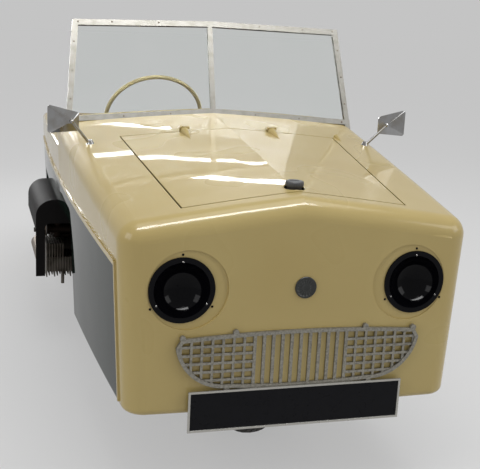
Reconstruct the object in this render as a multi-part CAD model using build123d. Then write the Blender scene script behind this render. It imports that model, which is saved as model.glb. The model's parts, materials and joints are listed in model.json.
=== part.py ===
from build123d import *
import math
import os

# Light open three wheeled car of the 1950s: one steered front wheel, two rear wheels and a
# single cylinder engine carried outside the body on its right side.
# X runs to the car's left, Y to its rear and Z up; the floor is at Z = 0, and the origin is
# under the middle of the car's length.  Millimetres.

# Overall sizes
LENGTH = 3000.0
NOSE_GAP = 15.0
TAIL_LAMP_DEPTH = 18.0
NOSE_Y = -LENGTH / 2 + NOSE_GAP
TAIL_Y = LENGTH / 2 - TAIL_LAMP_DEPTH
NOSE_HALF = 478.0
WAIST_HALF = 530.0
WAIST_Y = -150.0
TAIL_HALF = 410.0
NOSE_CORNER = 62.0
TAIL_CORNER = 150.0
NOSE_BOW = 9.0
LEAN = 0.046
LEAN_Z = 500.0
PRISM_TOP = 1200.0
SKIN = 4.0
WALL = 38.0
SHUT = 5.0
TOUCH = 0.3

# Heights of the body
BODY_BOTTOM = 285.0
NOSE_TOP = 868.0
SCUTTLE_TOP = 976.0
SCUTTLE_END_Y = -385.0
NOSE_RIDGE_SLOPE = 0.155
SCUTTLE_RIDGE_SLOPE = 0.075
TOP_EDGE_RADIUS = 58.0
TOP_BULGE = 6.0
TOP_REACH = 700.0
BOTTOM_RADIUS = 20.0
BOTTOM_LIP = 26.0
REAR_EDGE_RADIUS = 20.0
DECK_BEND = 250.0
COCKPIT_TOP = 850.0
TAIL_DECK_TOP = 700.0
TAIL_END_TOP = 560.0
MOULDING_FRONT_Z = 690.0
MOULDING_REAR_Z = 745.0
MOULDING_HEIGHT = 14.0
MOULDING_DEPTH = 5.0
BEAD_WIDTH = 8.0

# Wheels
WHEELBASE = 2000.0
FRONT_AXLE_Y = -1000.0
REAR_AXLE_Y = FRONT_AXLE_Y + WHEELBASE
TYRE_RADIUS = 208.0
TYRE_WIDTH = 100.0
RIM_RADIUS = 112.0
RIM_WIDTH = 78.0
REAR_TRACK = 800.0
ARCH_GAP = 38.0
AXLE_RADIUS = 10.0
AXLE_FIT = 0.08
HUB_RADIUS = 27.0
HUB_HALF = 32.0

# Front fork and its head
RAKE = 12.0
FORK_LEG_X = 76.0
FORK_LEG_RADIUS = 15.0
FORK_CROWN_UP = TYRE_RADIUS + 54.0
FORK_CROWN_THICK = 26.0
FORK_OFFSET = 40.0
STEM_RADIUS = 16.0
STEM_TOP_UP = FORK_CROWN_UP + 206.0
HEAD_RADIUS = 27.0
HEAD_LENGTH = 150.0
STEM_FIT = 0.08
HEAD_GAP = 6.0
HEAD_LOW = FORK_CROWN_UP + FORK_CROWN_THICK / 2 + HEAD_GAP

# Bonnet lid
LID_FRONT_Y = NOSE_Y + 85.0
LID_REAR_Y = -690.0
LID_FRONT_HALF = 320.0
LID_REAR_HALF = 372.0
CAP_X = 4.0
CAP_Y = NOSE_Y + 129.0
CAP_RADIUS = 26.0
CAP_HEIGHT = 18.0
CAP_CLEAR = 7.0
COVER_XS = (-158.0, 146.0)
COVER_LENGTH = 92.0
COVER_RADIUS = 14.0
HINGE_RADIUS = 6.0
HINGE_PIN = 3.0
HINGE_FIT = 0.1
HINGE_HALF = 8.0
HINGE_LIFT = 1.0
SMALL_COVER = (392.0, -672.0)

# Fuel tank under the lid
TANK_HALF = 165.0
TANK_FRONT_Y = NOSE_Y + 73.0
TANK_REAR_Y = TANK_FRONT_Y + 144.0
TANK_BOTTOM = 690.0
TANK_TOP = 822.0

# Nose fittings
LAMP_X = 329.0
LAMP_Z = 634.0
LAMP_RADIUS = 89.0
DISH_RADIUS = LAMP_RADIUS + 19.0
DISH_SHIFT = 17.0
DISH_DEPTH = 8.0
BADGE_X = 8.0
BADGE_Z = 632.0
BADGE_RADIUS = 30.0
GRILLE_X = 4.0
GRILLE_HALF = 333.0
GRILLE_TOP_Z = 516.0
GRILLE_CORNER_Z = 503.0
GRILLE_BOTTOM_Z = 353.0
PLATE_HALF = 306.0
PLATE_HEIGHT = 117.0
PLATE_Z = 240.0
PLATE_EDGE = 6.0

# Windscreen
SCREEN_BASE_Y = -465.0
SCREEN_TOP_Y = -347.0
SCREEN_BASE_HALF = WAIST_HALF - 6.0
SCREEN_TOP_HALF = SCREEN_BASE_HALF - 31.0
SCREEN_BASE_Z = 931.0
SCREEN_TOP_Z = 1273.0
SCREEN_PEAK = 33.0
POST_DOWN = 34.0
SCREEN_TOP_PEAK = 12.0
FRAME_WIDTH = 20.0
FRAME_THICK = 16.0
GLASS_THICK = 5.0

# Cockpit
COCKPIT_REAR_Y = 420.0
FLOOR_THICK = 4.0
FLOOR_Z = BODY_BOTTOM - FLOOR_THICK - 0.2
SEAT_Z = 300.0
SEAT_TOP = 455.0
SEAT_FRONT_Y = -130.0
SEAT_BACK_Y = 300.0
SEAT_BACK_TOP = 872.0
SEAT_BACK_THICK = 119.5
SEAT_LEFT_X = WAIST_HALF - 66.0
SEAT_RIGHT_X = -316.0
DOOR_FRONT_Y = -340.0
DOOR_REAR_Y = 230.0
DOOR_BOTTOM = 330.0
WHEEL_X = -165.0
WHEEL_Y = -180.0
WHEEL_Z = 913.0
WHEEL_RADIUS = 190.0
WHEEL_RIM = 7.5
WHEEL_TILT = 62.0
BOX_ALONG = -660.0
COLUMN_RADIUS = 16.0
COLUMN_PIN = 8.0
HUB_LOW = -24.0

# Engine on the right side
BAY_FRONT_Y = -660.0
BAY_REAR_Y = 380.0
BAY_TOP_Z = 620.0
BAY_INNER_X = -325.0
PANEL = 3.0
ENGINE_Y = 60.0
ENGINE_X = -475.0
CRANK_Z = 330.0
COWL_X = -500.0
COWL_FRONT_Y = -150.0
COWL_REAR_Y = 290.0
COWL_TOP_Z = 588.0
COWL_BOTTOM_Z = 285.0
COWL_SIDE_Z = 470.0
COWL_THICK = 4.0
COWL_HALF = 105.0
COWL_CORNER = 65.0
COWL_LEG = 35.0
WINDOW_TOP_Z = 495.0
RIB_XS = (-562.0, -438.0)
RIB_PITCH = 10.3
RIB_COUNT = 13
RIB_THICK = 4.0
RIB_BOTTOM_Z = 276.0
FIN_COUNT = 9
FIN_PITCH = 12.0
FIN_RADIUS = 62.0
BARREL_RADIUS = 40.0
SILENCER_X = -545.0
SILENCER_Z = 235.0
SPROCKET_X = -339.0
SPROCKET_RADIUS = 78.0
CHAIN_FRONT = (ENGINE_Y + 150, CRANK_Z - 10)
CHAIN_FRONT_RADIUS = 34.0
CHAIN_WIDTH = 8.0
CHAIN_THICK = 9.0
CHAIN_GAP = 5.0

# Chassis
FIREWALL_Y = -745.0
RAIL_X = 250.0
RAIL_WIDTH = 40.0
RAIL_HEIGHT = 50.0
RAIL_TOP = FLOOR_Z - 0.2
RAIL_END_Y = TAIL_Y - 75
POST_TOP = 640.0
STAY_RADIUS = 15.0
TOW_HALF = 60.0
TOW_HOLE = 5.5
TOW_Z = RAIL_TOP - RAIL_HEIGHT / 2
ARM_PIVOT_Y = 640.0
ARM_X = 300.0

# Door hinges
DOOR_HINGE_RADIUS = 8.0
DOOR_PIN = 3.5
DOOR_HINGE_ZS = (440.0, 790.0)

# Lamps and grille
LAMP_DEPTH = 55.0
TAIL_LAMP_X = 250.0
TAIL_LAMP_Z = 480.0
TAIL_LAMP_RADIUS = 28.0
GRILLE_DEPTH = 9.0
GRILLE_BAR_DEPTH = 6.0
GRILLE_FRAME = 10.0
GRILLE_TIP_HALF = 347.0
GRILLE_TIP_Z = 479.0
GRILLE_BOTTOM_HALF = 200.0
BAR_PITCH = 26.2
BAR_WIDTH = 9.0
MESH_PITCH = 29.0
MESH_ROW_PITCH = 24.0
MESH_ROW_Z = 384.0
MESH_WIDTH = 7.0
LUG_RADIUS = 8.0

# Mirrors
MIRROR_FOOT = (474.0, -735.0)
MIRROR_JOINT = (537.0, -772.0, 974.0)
MIRROR_Y = -748.0
MIRROR_INNER = (513.0, 942.0, 1000.0)
MIRROR_OUTER = (611.0, 934.0, 1024.0)
MIRROR_RIM = 6.0


def at(x, y, z):
    return Location((x, y, z))


def block(x0, x1, y0, y1, z0, z1):
    # A box between two corners.
    size = (x1 - x0, y1 - y0, z1 - z0)
    middle = ((x0 + x1) / 2, (y0 + y1) / 2, (z0 + z1) / 2)
    return at(*middle) * Box(*size)


def rod(start, end, radius):
    # A round bar from one point to another.
    a = Vector(*start)
    b = Vector(*end)
    plane = Plane(origin=a, z_dir=b - a)
    return plane * extrude(Circle(radius), (b - a).length)


def across(radius, half, x, y, z, inner=0.0):
    # A disc or ring whose axis runs along X.
    face = Circle(radius)
    if inner:
        face = face - Circle(inner)
    plane = Plane(origin=(x - half, y, z), x_dir=(0, 1, 0), z_dir=(1, 0, 0))
    return plane * extrude(face, 2 * half)


def plan_face(inset, lean=0.0):
    # The body's outline seen from above, drawn smaller by the inset and narrower by the lean.
    nose_half = NOSE_HALF - inset - lean
    waist_half = WAIST_HALF - inset - lean
    tail_half = TAIL_HALF - inset - lean
    nose_tip = NOSE_Y + inset
    nose = nose_tip + NOSE_BOW
    tail = TAIL_Y - inset
    sweep = waist_half - (waist_half - nose_half) / 4
    rear_sweep = waist_half - (waist_half - tail_half) / 4
    edges = [Line((tail_half, tail), (-tail_half, tail))]
    edges.append(ThreePointArc((-nose_half, nose), (0, nose_tip), (nose_half, nose)))
    for side in (-1, 1):
        waist = (side * waist_half, WAIST_Y)
        front = (side * sweep, (nose + WAIST_Y) / 2)
        rear = (side * rear_sweep, (tail + WAIST_Y) / 2)
        edges.append(ThreePointArc(waist, front, (side * nose_half, nose)))
        edges.append(ThreePointArc(waist, rear, (side * tail_half, tail)))
    face = make_face(Curve() + edges)
    nose_points = [v for v in face.vertices() if abs(v.Y - nose) < 1]
    face = fillet(nose_points, NOSE_CORNER - inset)
    tail_points = [v for v in face.vertices() if abs(v.Y - tail) < 1]
    return fillet(tail_points, TAIL_CORNER - inset)


def level_inset(z):
    # How much narrower the body is at a height, each side, than at the level LEAN_Z.
    return LEAN * (LEAN_Z - z)


def plan_prism(inset):
    # The outline carried up from the ground, its sides leaning out.
    low = plan_face(inset, level_inset(0))
    high = at(0, 0, PRISM_TOP) * plan_face(inset, level_inset(PRISM_TOP))
    return loft([low, high], ruled=True)


def bonnet_z(y):
    # Height of the ridge of the bonnet and scuttle.
    share = (y - NOSE_Y) / (SCUTTLE_END_Y - NOSE_Y)
    return NOSE_TOP + share * (SCUTTLE_TOP - NOSE_TOP)


def ridge_slope(y):
    share = (y - NOSE_Y) / (SCUTTLE_END_Y - NOSE_Y)
    return NOSE_RIDGE_SLOPE + share * (SCUTTLE_RIDGE_SLOPE - NOSE_RIDGE_SLOPE)


def top_z(x, y):
    # Height of the bonnet and scuttle away from their round edges.
    half = TOP_REACH / 2
    bulge = TOP_BULGE * (1 - ((abs(x) - half) / half) ** 2)
    return bonnet_z(y) - abs(x) * ridge_slope(y) + bulge


def gable_section(y, inset):
    # A slice across the bonnet: two slightly bulged slopes that meet at the ridge.
    top = bonnet_z(y) - inset
    side = top - TOP_REACH * ridge_slope(y)
    edges = [Line((-TOP_REACH, 0), (TOP_REACH, 0))]
    for sign in (-1, 1):
        middle = (sign * TOP_REACH / 2, (top + side) / 2 + TOP_BULGE)
        edges.append(ThreePointArc((0, top), middle, (sign * TOP_REACH, side)))
        edges.append(Line((sign * TOP_REACH, side), (sign * TOP_REACH, 0)))
    plane = Plane(origin=(0, y, 0), x_dir=(1, 0, 0), z_dir=(0, -1, 0))
    return plane * make_face(Curve() + edges)


def edges_between(form, low, high, front, rear):
    # The edges whose ends lie between two heights and whose middle lies between two stations.
    return [
        e for e in form.edges()
        if front < e.center().Y < rear
        and min(v.Z for v in e.vertices()) > low and max(v.Z for v in e.vertices()) < high
    ]


def front_envelope(inset):
    # Nose, bonnet and scuttle as one closed form.
    sections = [gable_section(y, inset) for y in (NOSE_Y - 50, SCUTTLE_END_Y)]
    form = plan_prism(inset) & loft(sections, ruled=True)
    floor = BODY_BOTTOM + inset
    ahead = NOSE_Y - 100
    form = form - block(-800, 800, ahead, TAIL_Y + 100, -10, floor)
    rear = SCUTTLE_END_Y - 5
    top_edges = edges_between(form, MOULDING_REAR_Z, PRISM_TOP, ahead, rear)
    top_edges = [e for e in top_edges if abs(e.center().X) > 1]
    form = fillet(top_edges, TOP_EDGE_RADIUS - inset)
    form = fillet(edges_between(form, 0, floor + 1, ahead, rear), BOTTOM_RADIUS - inset)
    for side in (-1, 1):
        x = side * (LAMP_X - DISH_SHIFT)
        dish = rod((x, ahead, LAMP_Z), (x, NOSE_Y + DISH_DEPTH + inset, LAMP_Z), DISH_RADIUS + inset)
        form = form - dish
    return form


def rear_profile(drop):
    # Side view of the cockpit and tail, with its top lowered by the drop.
    outline = Polyline(
        (SCUTTLE_END_Y, 0),
        (SCUTTLE_END_Y, COCKPIT_TOP - drop),
        (COCKPIT_REAR_Y + 60, COCKPIT_TOP - drop),
        (COCKPIT_REAR_Y + 260, TAIL_DECK_TOP + 60 - drop),
        (TAIL_Y + 40, TAIL_END_TOP - drop),
        (TAIL_Y + 40, 0),
        close=True,
    )
    face = make_face(outline)
    bends = [v for v in face.vertices() if COCKPIT_REAR_Y < v.X < TAIL_Y]
    return fillet(bends, DECK_BEND)


def rear_envelope(inset):
    # Cockpit sides and tail as one closed form.
    form = plan_prism(inset) & Plane.YZ * extrude(rear_profile(inset), 800, both=True)
    floor = BODY_BOTTOM + inset
    behind = TAIL_Y + 100
    form = form - block(-900, 900, SCUTTLE_END_Y - 10, behind, -10, floor)
    front = SCUTTLE_END_Y + 5
    top_edges = edges_between(form, TAIL_END_TOP - 60, PRISM_TOP, front, behind)
    top_edges = [e for e in top_edges if not is_across(e)]
    form = fillet(top_edges, REAR_EDGE_RADIUS - inset)
    return fillet(edges_between(form, 0, floor + 1, front, behind), BOTTOM_RADIUS - inset)


def is_across(edge):
    # An edge that runs straight across the body, inside its outline.
    box = edge.bounding_box().size
    return box.Y < 0.01 and edge.center().Y < TAIL_Y - 40


def open_below(form):
    # Takes away the closed form's bottom, but for a lip turned inwards.
    inside = plan_face(SKIN + BOTTOM_LIP, level_inset(BODY_BOTTOM))
    return form - extrude(inside, BODY_BOTTOM + 2 * SKIN)


def moulding_z(y):
    # Height of the middle of the side moulding.
    share = (y - NOSE_Y) / (COCKPIT_REAR_Y - NOSE_Y)
    return MOULDING_FRONT_Z + share * (MOULDING_REAR_Z - MOULDING_FRONT_Z)


def half_width(y, z=LEAN_Z):
    # Half the body's width at a place along its length and a height.
    end_half, run = TAIL_HALF, TAIL_Y - WAIST_Y
    if y < WAIST_Y:
        end_half, run = NOSE_HALF, WAIST_Y - NOSE_Y - NOSE_BOW
    sweep = (WAIST_HALF - end_half) * ((y - WAIST_Y) / run) ** 2
    return WAIST_HALF - sweep - level_inset(z)


def above_moulding(y0, y1):
    # The space above the moulding line between two stations.
    outline = Polyline(
        (y0, moulding_z(y0)), (y1, moulding_z(y1)), (y1, 1200), (y0, 1200), close=True
    )
    return Plane.YZ * extrude(make_face(outline), 800, both=True)


def below_moulding(y0, y1):
    outline = Polyline(
        (y0, moulding_z(y0)), (y1, moulding_z(y1)), (y1, 0), (y0, 0), close=True
    )
    return Plane.YZ * extrude(make_face(outline), 800, both=True)


def lid_space(grow):
    # The space of the bonnet lid, drawn larger by half the shut gap.
    front = LID_FRONT_HALF + grow
    rear = LID_REAR_HALF + grow
    outline = Polyline(
        (-front, LID_FRONT_Y - grow),
        (-rear, LID_REAR_Y + grow),
        (rear, LID_REAR_Y + grow),
        (front, LID_FRONT_Y - grow),
        close=True,
    )
    return at(0, 0, 600) * extrude(make_face(outline), 600)


LID_HINGE_Z = bonnet_z(LID_REAR_Y) + HINGE_LIFT
DOOR_HINGE_Y = DOOR_FRONT_Y - SHUT / 2
DOOR_HINGE_X = half_width(DOOR_HINGE_Y, max(DOOR_HINGE_ZS)) + DOOR_HINGE_RADIUS + 2.0
DOOR_STRAP = 36.0

# Body shell forms that the panels are cut from
FRONT = front_envelope(0)
FRONT_SHELL = open_below(FRONT - front_envelope(SKIN))
REAR = rear_envelope(0)
BAY = block(-900, BAY_INNER_X, BAY_FRONT_Y, BAY_REAR_Y, 0, BAY_TOP_Z)


def nose_panel():
    form = FRONT_SHELL & block(-800, 800, NOSE_Y - 50, LID_FRONT_Y, 0, PRISM_TOP)
    form = form - lid_space(SHUT / 2)
    for side in (-1, 1):
        x = side * LAMP_X
        form = form - rod((x, NOSE_Y - 10, LAMP_Z), (x, NOSE_Y + 60, LAMP_Z), LAMP_RADIUS - 9)
    return form


def bonnet_lid():
    form = FRONT_SHELL & lid_space(-SHUT / 2)
    hole = at(CAP_X, CAP_Y, 700) * extrude(Circle(CAP_RADIUS + CAP_CLEAR), 400)
    form = form - hole
    for x in COVER_XS:
        form = form + lid_cover(x)
    return form


def lid_cover(x):
    # The lid's half of a hinge: a cone pointing forward, with a barrel behind it.
    back = Vector(x, LID_REAR_Y - HINGE_RADIUS - 3, LID_HINGE_Z - 9)
    tip_y = LID_REAR_Y - COVER_LENGTH
    tip = Vector(x, tip_y, top_z(x, tip_y) - 1)
    length = (tip - back).length
    plane = Plane(origin=back, z_dir=tip - back)
    cone = plane * (Pos(0, 0, length / 2) * Cone(COVER_RADIUS, 2, length))
    web = block(x - HINGE_HALF, x + HINGE_HALF, back.Y - 8, LID_REAR_Y,
                LID_HINGE_Z - HINGE_RADIUS, LID_HINGE_Z + HINGE_RADIUS - 1)
    barrel = across(HINGE_RADIUS, HINGE_HALF, x, LID_REAR_Y, LID_HINGE_Z)
    bore = across(HINGE_PIN + HINGE_FIT, HINGE_HALF + 1, x, LID_REAR_Y, LID_HINGE_Z)
    return (cone + web + barrel) - bore - FRONT


def lid_hinges():
    # The fixed halves of the lid's hinges, each two lugs on the scuttle joined by the pin.
    parts = []
    for x in COVER_XS:
        piece = across(HINGE_PIN, HINGE_HALF + 7, x, LID_REAR_Y, LID_HINGE_Z)
        for end in (-1, 1):
            middle = x + end * (HINGE_HALF + 4.5)
            barrel = across(HINGE_RADIUS, 3.5, middle, LID_REAR_Y, LID_HINGE_Z)
            lug = block(middle - 3.5, middle + 3.5, LID_REAR_Y, LID_REAR_Y + 30,
                        LID_HINGE_Z - 40, LID_HINGE_Z + 2)
            lug = chamfer(lug.edges().group_by(Axis.Y)[-1].group_by(Axis.Z)[-1], 10)
            gap = block(-900, 900, LID_REAR_Y - 50, LID_REAR_Y + SHUT / 2, 0, LID_HINGE_Z - HINGE_RADIUS)
            piece = piece + (barrel + lug - gap)
        parts.append(piece - FRONT)
    return parts


def side_panel(side):
    # The dark lower panel from the nose to the cockpit.
    band = below_moulding(LID_FRONT_Y, SCUTTLE_END_Y)
    half = block(200, 800, NOSE_Y, 0, 0, 1200)
    if side < 0:
        half = mirror(half, about=Plane.YZ)
    form = FRONT_SHELL & band & half
    if side < 0:
        form = form - BAY
    return form


def bonnet_surround():
    # Wings and scuttle, one pressing round three sides of the lid, with the small fixed cover.
    band = above_moulding(LID_FRONT_Y, SCUTTLE_END_Y)
    return (FRONT_SHELL & band) - lid_space(SHUT / 2) + small_cover()


def small_cover():
    # The small forward pointing cover beside the lid's rear corner.
    x, y = SMALL_COVER
    back = Vector(x, y, top_z(x, y) + 2)
    tip_y = y - 48
    tip = Vector(x, tip_y, top_z(x, tip_y) - 1)
    length = (tip - back).length
    cone = Plane(origin=back, z_dir=tip - back) * (Pos(0, 0, length / 2) * Cone(9, 2, length))
    return cone - front_envelope(SKIN / 2)


def moulding(side, y0, y1, root=-0.2):
    # A strip that follows the body's side; its back lies the root's depth inside the skin.
    strip = plan_prism(-MOULDING_DEPTH) - plan_prism(root)
    rise = MOULDING_HEIGHT / 2
    outline = Polyline(
        (y0, moulding_z(y0) - rise), (y1, moulding_z(y1) - rise),
        (y1, moulding_z(y1) + rise), (y0, moulding_z(y0) + rise), close=True,
    )
    band = Plane.YZ * extrude(make_face(outline), side * 800)
    return strip & band


def corner_bead(side):
    # The upright bead where the nose meets the side panel.
    strip = plan_prism(-MOULDING_DEPTH) - plan_prism(-0.2)
    low = BODY_BOTTOM + BOTTOM_RADIUS
    band = block(0, 800, LID_FRONT_Y - BEAD_WIDTH, LID_FRONT_Y, low, moulding_z(LID_FRONT_Y) + 4)
    return strip & (band if side > 0 else mirror(band, about=Plane.YZ))


def cockpit_walls():
    # Sides of the cockpit, as thick as the door.
    ring = REAR & block(-800, 800, SCUTTLE_END_Y, COCKPIT_REAR_Y, 0, PRISM_TOP)
    return ring - plan_prism(WALL)


WALLS = cockpit_walls()


def door_knuckles():
    # Moving halves of the door's hinges: a barrel and a strap on the skin.
    piece = Part()
    for z in DOOR_HINGE_ZS:
        ring = Circle(DOOR_HINGE_RADIUS) - Circle(DOOR_PIN + HINGE_FIT)
        barrel = at(DOOR_HINGE_X, DOOR_HINGE_Y, z - 10) * extrude(ring, 20)
        strap = block(DOOR_HINGE_X - 7, DOOR_HINGE_X - 3, DOOR_HINGE_Y + 4, DOOR_HINGE_Y + 55,
                      z - 10, z + 10)
        web = block(DOOR_HINGE_X - DOOR_STRAP, DOOR_HINGE_X - 3, DOOR_HINGE_Y + 14,
                    DOOR_HINGE_Y + 55, z - 10, z + 10)
        piece = piece + barrel + strap + web
    return piece


def door_hinges():
    parts = []
    for z in DOOR_HINGE_ZS:
        pin = at(DOOR_HINGE_X, DOOR_HINGE_Y, z - 28) * extrude(Circle(DOOR_PIN), 56)
        piece = pin
        for end in (-1, 1):
            low = z + end * 19 - 8
            barrel = at(DOOR_HINGE_X, DOOR_HINGE_Y, low) * extrude(Circle(DOOR_HINGE_RADIUS), 16)
            strap = block(DOOR_HINGE_X - DOOR_STRAP, DOOR_HINGE_X - 4, DOOR_HINGE_Y - 45,
                          DOOR_HINGE_Y - 7, low, low + 16)
            strap = strap + block(DOOR_HINGE_X - 8, DOOR_HINGE_X - 4, DOOR_HINGE_Y - 45,
                                  DOOR_HINGE_Y - 3, low, low + 16)
            piece = piece + barrel + (strap - FRONT - REAR)
        parts.append(piece)
    return parts


def panel_hinges():
    return Compound(children=lid_hinges() + door_hinges())


def left_door():
    front = DOOR_FRONT_Y + SHUT / 2
    rear = DOOR_REAR_Y - SHUT / 2
    space = block(200, 800, front, rear, DOOR_BOTTOM + SHUT / 2, PRISM_TOP)
    return (WALLS & space) + door_knuckles() + moulding(1, front, rear, 1.0)


def left_body_side():
    half = block(200, 800, SCUTTLE_END_Y, COCKPIT_REAR_Y, 0, 1200)
    return (WALLS & half) - block(200, 800, DOOR_FRONT_Y - SHUT / 2, DOOR_REAR_Y + SHUT / 2,
                                  DOOR_BOTTOM - SHUT / 2, 1200)


def right_body_side():
    half = block(-800, -200, SCUTTLE_END_Y, COCKPIT_REAR_Y, 0, 1200)
    return (WALLS & half) - BAY


def arch_disc(grow):
    return across(TYRE_RADIUS + ARCH_GAP + grow, 800, 0, REAR_AXLE_Y, TYRE_RADIUS)


def tail_panel():
    space = block(-800, 800, COCKPIT_REAR_Y, TAIL_Y + 50, 0, PRISM_TOP)
    return open_below((REAR - rear_envelope(SKIN) - arch_disc(0)) & space)


def rear_wheel_arches():
    # A curved roof and an inner wall over each rear wheel.
    parts = []
    radius = TYRE_RADIUS + ARCH_GAP + PANEL
    liner = rear_envelope(SKIN + TOUCH)
    for side, inner in ((1, ARM_X), (-1, -BAY_INNER_X - PANEL)):
        roof = arch_disc(PANEL) - arch_disc(0)
        roof = roof & block(inner, 800, 0, TAIL_Y, BODY_BOTTOM, 900) & liner
        wall = across(radius, PANEL / 2, inner + PANEL / 2, REAR_AXLE_Y, TYRE_RADIUS)
        wall = wall - block(-900, 900, 0, TAIL_Y, -100, BODY_BOTTOM)
        piece = roof + wall
        if side < 0:
            slot = block(SPROCKET_X - 14, SPROCKET_X + 12, 500, 900, 0, BODY_BOTTOM + 60)
            piece = mirror(piece, about=Plane.YZ) - slot
        parts.append(piece)
    return Compound(children=parts)


def firewall():
    face = block(-800, 800, FIREWALL_Y, FIREWALL_Y + PANEL, BODY_BOTTOM, 1200)
    piece = face & front_envelope(SKIN + TOUCH)
    gear = steering_box(TOUCH)
    return piece - gear - BAY


def steering_box(grow):
    # The box at the foot of the column that turns the fork.
    size = (90 + 2 * grow, 70 + 2 * grow, 80 + 2 * grow)
    return at(*column_point(BOX_ALONG)) * Box(*size)


def steering_line(radius):
    # A round bar along the steering column.
    return rod(column_point(-60), column_point(-720), radius)


def column_point(along):
    # A point on the column's axis, measured from the steering wheel's hub.
    tilt = math.radians(90 - WHEEL_TILT)
    return (WHEEL_X, WHEEL_Y + along * math.cos(tilt), WHEEL_Z + along * math.sin(tilt))


def steering_column():
    outer = rod(column_point(HUB_LOW - 5), column_point(BOX_ALONG + 20), COLUMN_RADIUS)
    pin = rod(column_point(HUB_LOW - 10), column_point(6), COLUMN_PIN)
    box_at = column_point(BOX_ALONG)
    link = rod((WHEEL_X + 20, box_at[1] - 10, box_at[2]), (-34, -838, 615), 9)
    return (outer + pin + steering_box(0) + link) - CHASSIS


def steering_wheel():
    normal = Vector(*column_point(1)) - Vector(*column_point(0))
    plane = Plane(origin=column_point(0), x_dir=(1, 0, 0), z_dir=normal)
    rim = WHEEL_RADIUS - WHEEL_RIM
    piece = plane * Torus(rim, WHEEL_RIM)
    piece = piece + plane * (Pos(0, 0, HUB_LOW) * extrude(Circle(26), 36))
    for turn in (0, 90, 180):
        spoke = Pos(rim / 2, 0, -4) * Box(rim, 14, 5)
        piece = piece + plane * (Rot(0, 0, turn) * spoke)
    bore = rod(column_point(HUB_LOW - 5), column_point(8), COLUMN_PIN + AXLE_FIT)
    return piece - bore


def floor_pan():
    outline = plan_face(BOTTOM_RADIUS, level_inset(FLOOR_Z))
    tray = at(0, 0, FLOOR_Z) * extrude(outline, FLOOR_THICK)
    tray = tray & block(-800, 800, FIREWALL_Y, COCKPIT_REAR_Y, 0, 400)
    return tray - BAY


def steer_point(up, forward=0.0):
    # A point on the steering axis, measured up it from beside the axle.
    rake = math.radians(RAKE)
    ahead = forward - FORK_OFFSET
    y = FRONT_AXLE_Y + up * math.sin(rake) - ahead * math.cos(rake)
    z = TYRE_RADIUS + up * math.cos(rake) + ahead * math.sin(rake)
    return (0, y, z)


def chassis_frame():
    # Two rails, cross members and the steering head with its stays.
    low_z = RAIL_TOP - RAIL_HEIGHT
    post_y = FIREWALL_Y - 25
    piece = Part()
    for side in (-1, 1):
        left = side * RAIL_X - RAIL_WIDTH / 2
        right = side * RAIL_X + RAIL_WIDTH / 2
        rail = block(left, right, FIREWALL_Y - 5, RAIL_END_Y, low_z, RAIL_TOP)
        post = block(left, right, post_y - 20, post_y + 20, low_z, POST_TOP)
        piece = piece + rail + post
        for up, foot_z in ((65, 420), (120, 610)):
            piece = piece + rod(steer_point(HEAD_LOW + up), (side * RAIL_X, post_y, foot_z), STAY_RADIUS)
    for y in (FIREWALL_Y, -330, COCKPIT_REAR_Y, RAIL_END_Y - 20):
        piece = piece + block(-RAIL_X, RAIL_X, y - 20, y + 20, low_z, RAIL_TOP)
    head_top = HEAD_LOW + HEAD_LENGTH
    head = rod(steer_point(HEAD_LOW), steer_point(head_top), HEAD_RADIUS)
    bore = rod(steer_point(HEAD_LOW - 30), steer_point(head_top + 40), STEM_RADIUS + STEM_FIT)
    piece = piece + head - bore
    for x in (-TOW_HALF, TOW_HALF):
        piece = piece - rod((x, RAIL_END_Y - 50, TOW_Z), (x, RAIL_END_Y + 10, TOW_Z), TOW_HOLE)
    return piece


CHASSIS = chassis_frame()


def front_fork():
    # Crown, legs and stem, with the axle that the front wheel turns on.
    piece = rod(steer_point(FORK_CROWN_UP), steer_point(STEM_TOP_UP), STEM_RADIUS)
    rake = Rot(-RAKE, 0, 0)
    crown = rake * Box(2 * FORK_LEG_X + 46, 44, FORK_CROWN_THICK)
    crown = Location(steer_point(FORK_CROWN_UP)) * crown
    piece = piece + fillet(crown.edges().filter_by(Axis.X, reverse=True), 6)
    for side in (-1, 1):
        x = side * FORK_LEG_X
        top = steer_point(FORK_CROWN_UP)
        foot = steer_point(0, FORK_OFFSET)
        leg = rod((x, top[1], top[2]), (x, foot[1], foot[2]), FORK_LEG_RADIUS)
        lug = across(24, 12, x, FRONT_AXLE_Y, TYRE_RADIUS)
        piece = piece + leg + lug
    shaft = across(AXLE_RADIUS, FORK_LEG_X + 26, 0, FRONT_AXLE_Y, TYRE_RADIUS)
    for side in (-1, 1):
        shaft = shaft + across(15, 5, side * (FORK_LEG_X + 17), FRONT_AXLE_Y, TYRE_RADIUS)
    return piece + shaft


def tyre(x, y):
    # A round shouldered tyre on its rim.
    half = TYRE_WIDTH / 2
    edge = half - 12
    bead = RIM_RADIUS + 2
    shoulder = TYRE_RADIUS - 18
    middle = (bead + TYRE_RADIUS) / 2
    section = make_face(Curve() + [
        Line((bead, -edge), (bead, edge)),
        ThreePointArc((bead, edge), (middle, half), (shoulder, edge)),
        ThreePointArc((shoulder, edge), (TYRE_RADIUS, 0), (shoulder, -edge)),
        ThreePointArc((shoulder, -edge), (middle, -half), (bead, -edge)),
    ])
    ring = revolve(Plane(origin=(0, 0, 0), x_dir=(0, 1, 0), z_dir=(0, 0, 1)) * section, Axis.X)
    return at(x, y, TYRE_RADIUS) * ring


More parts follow.
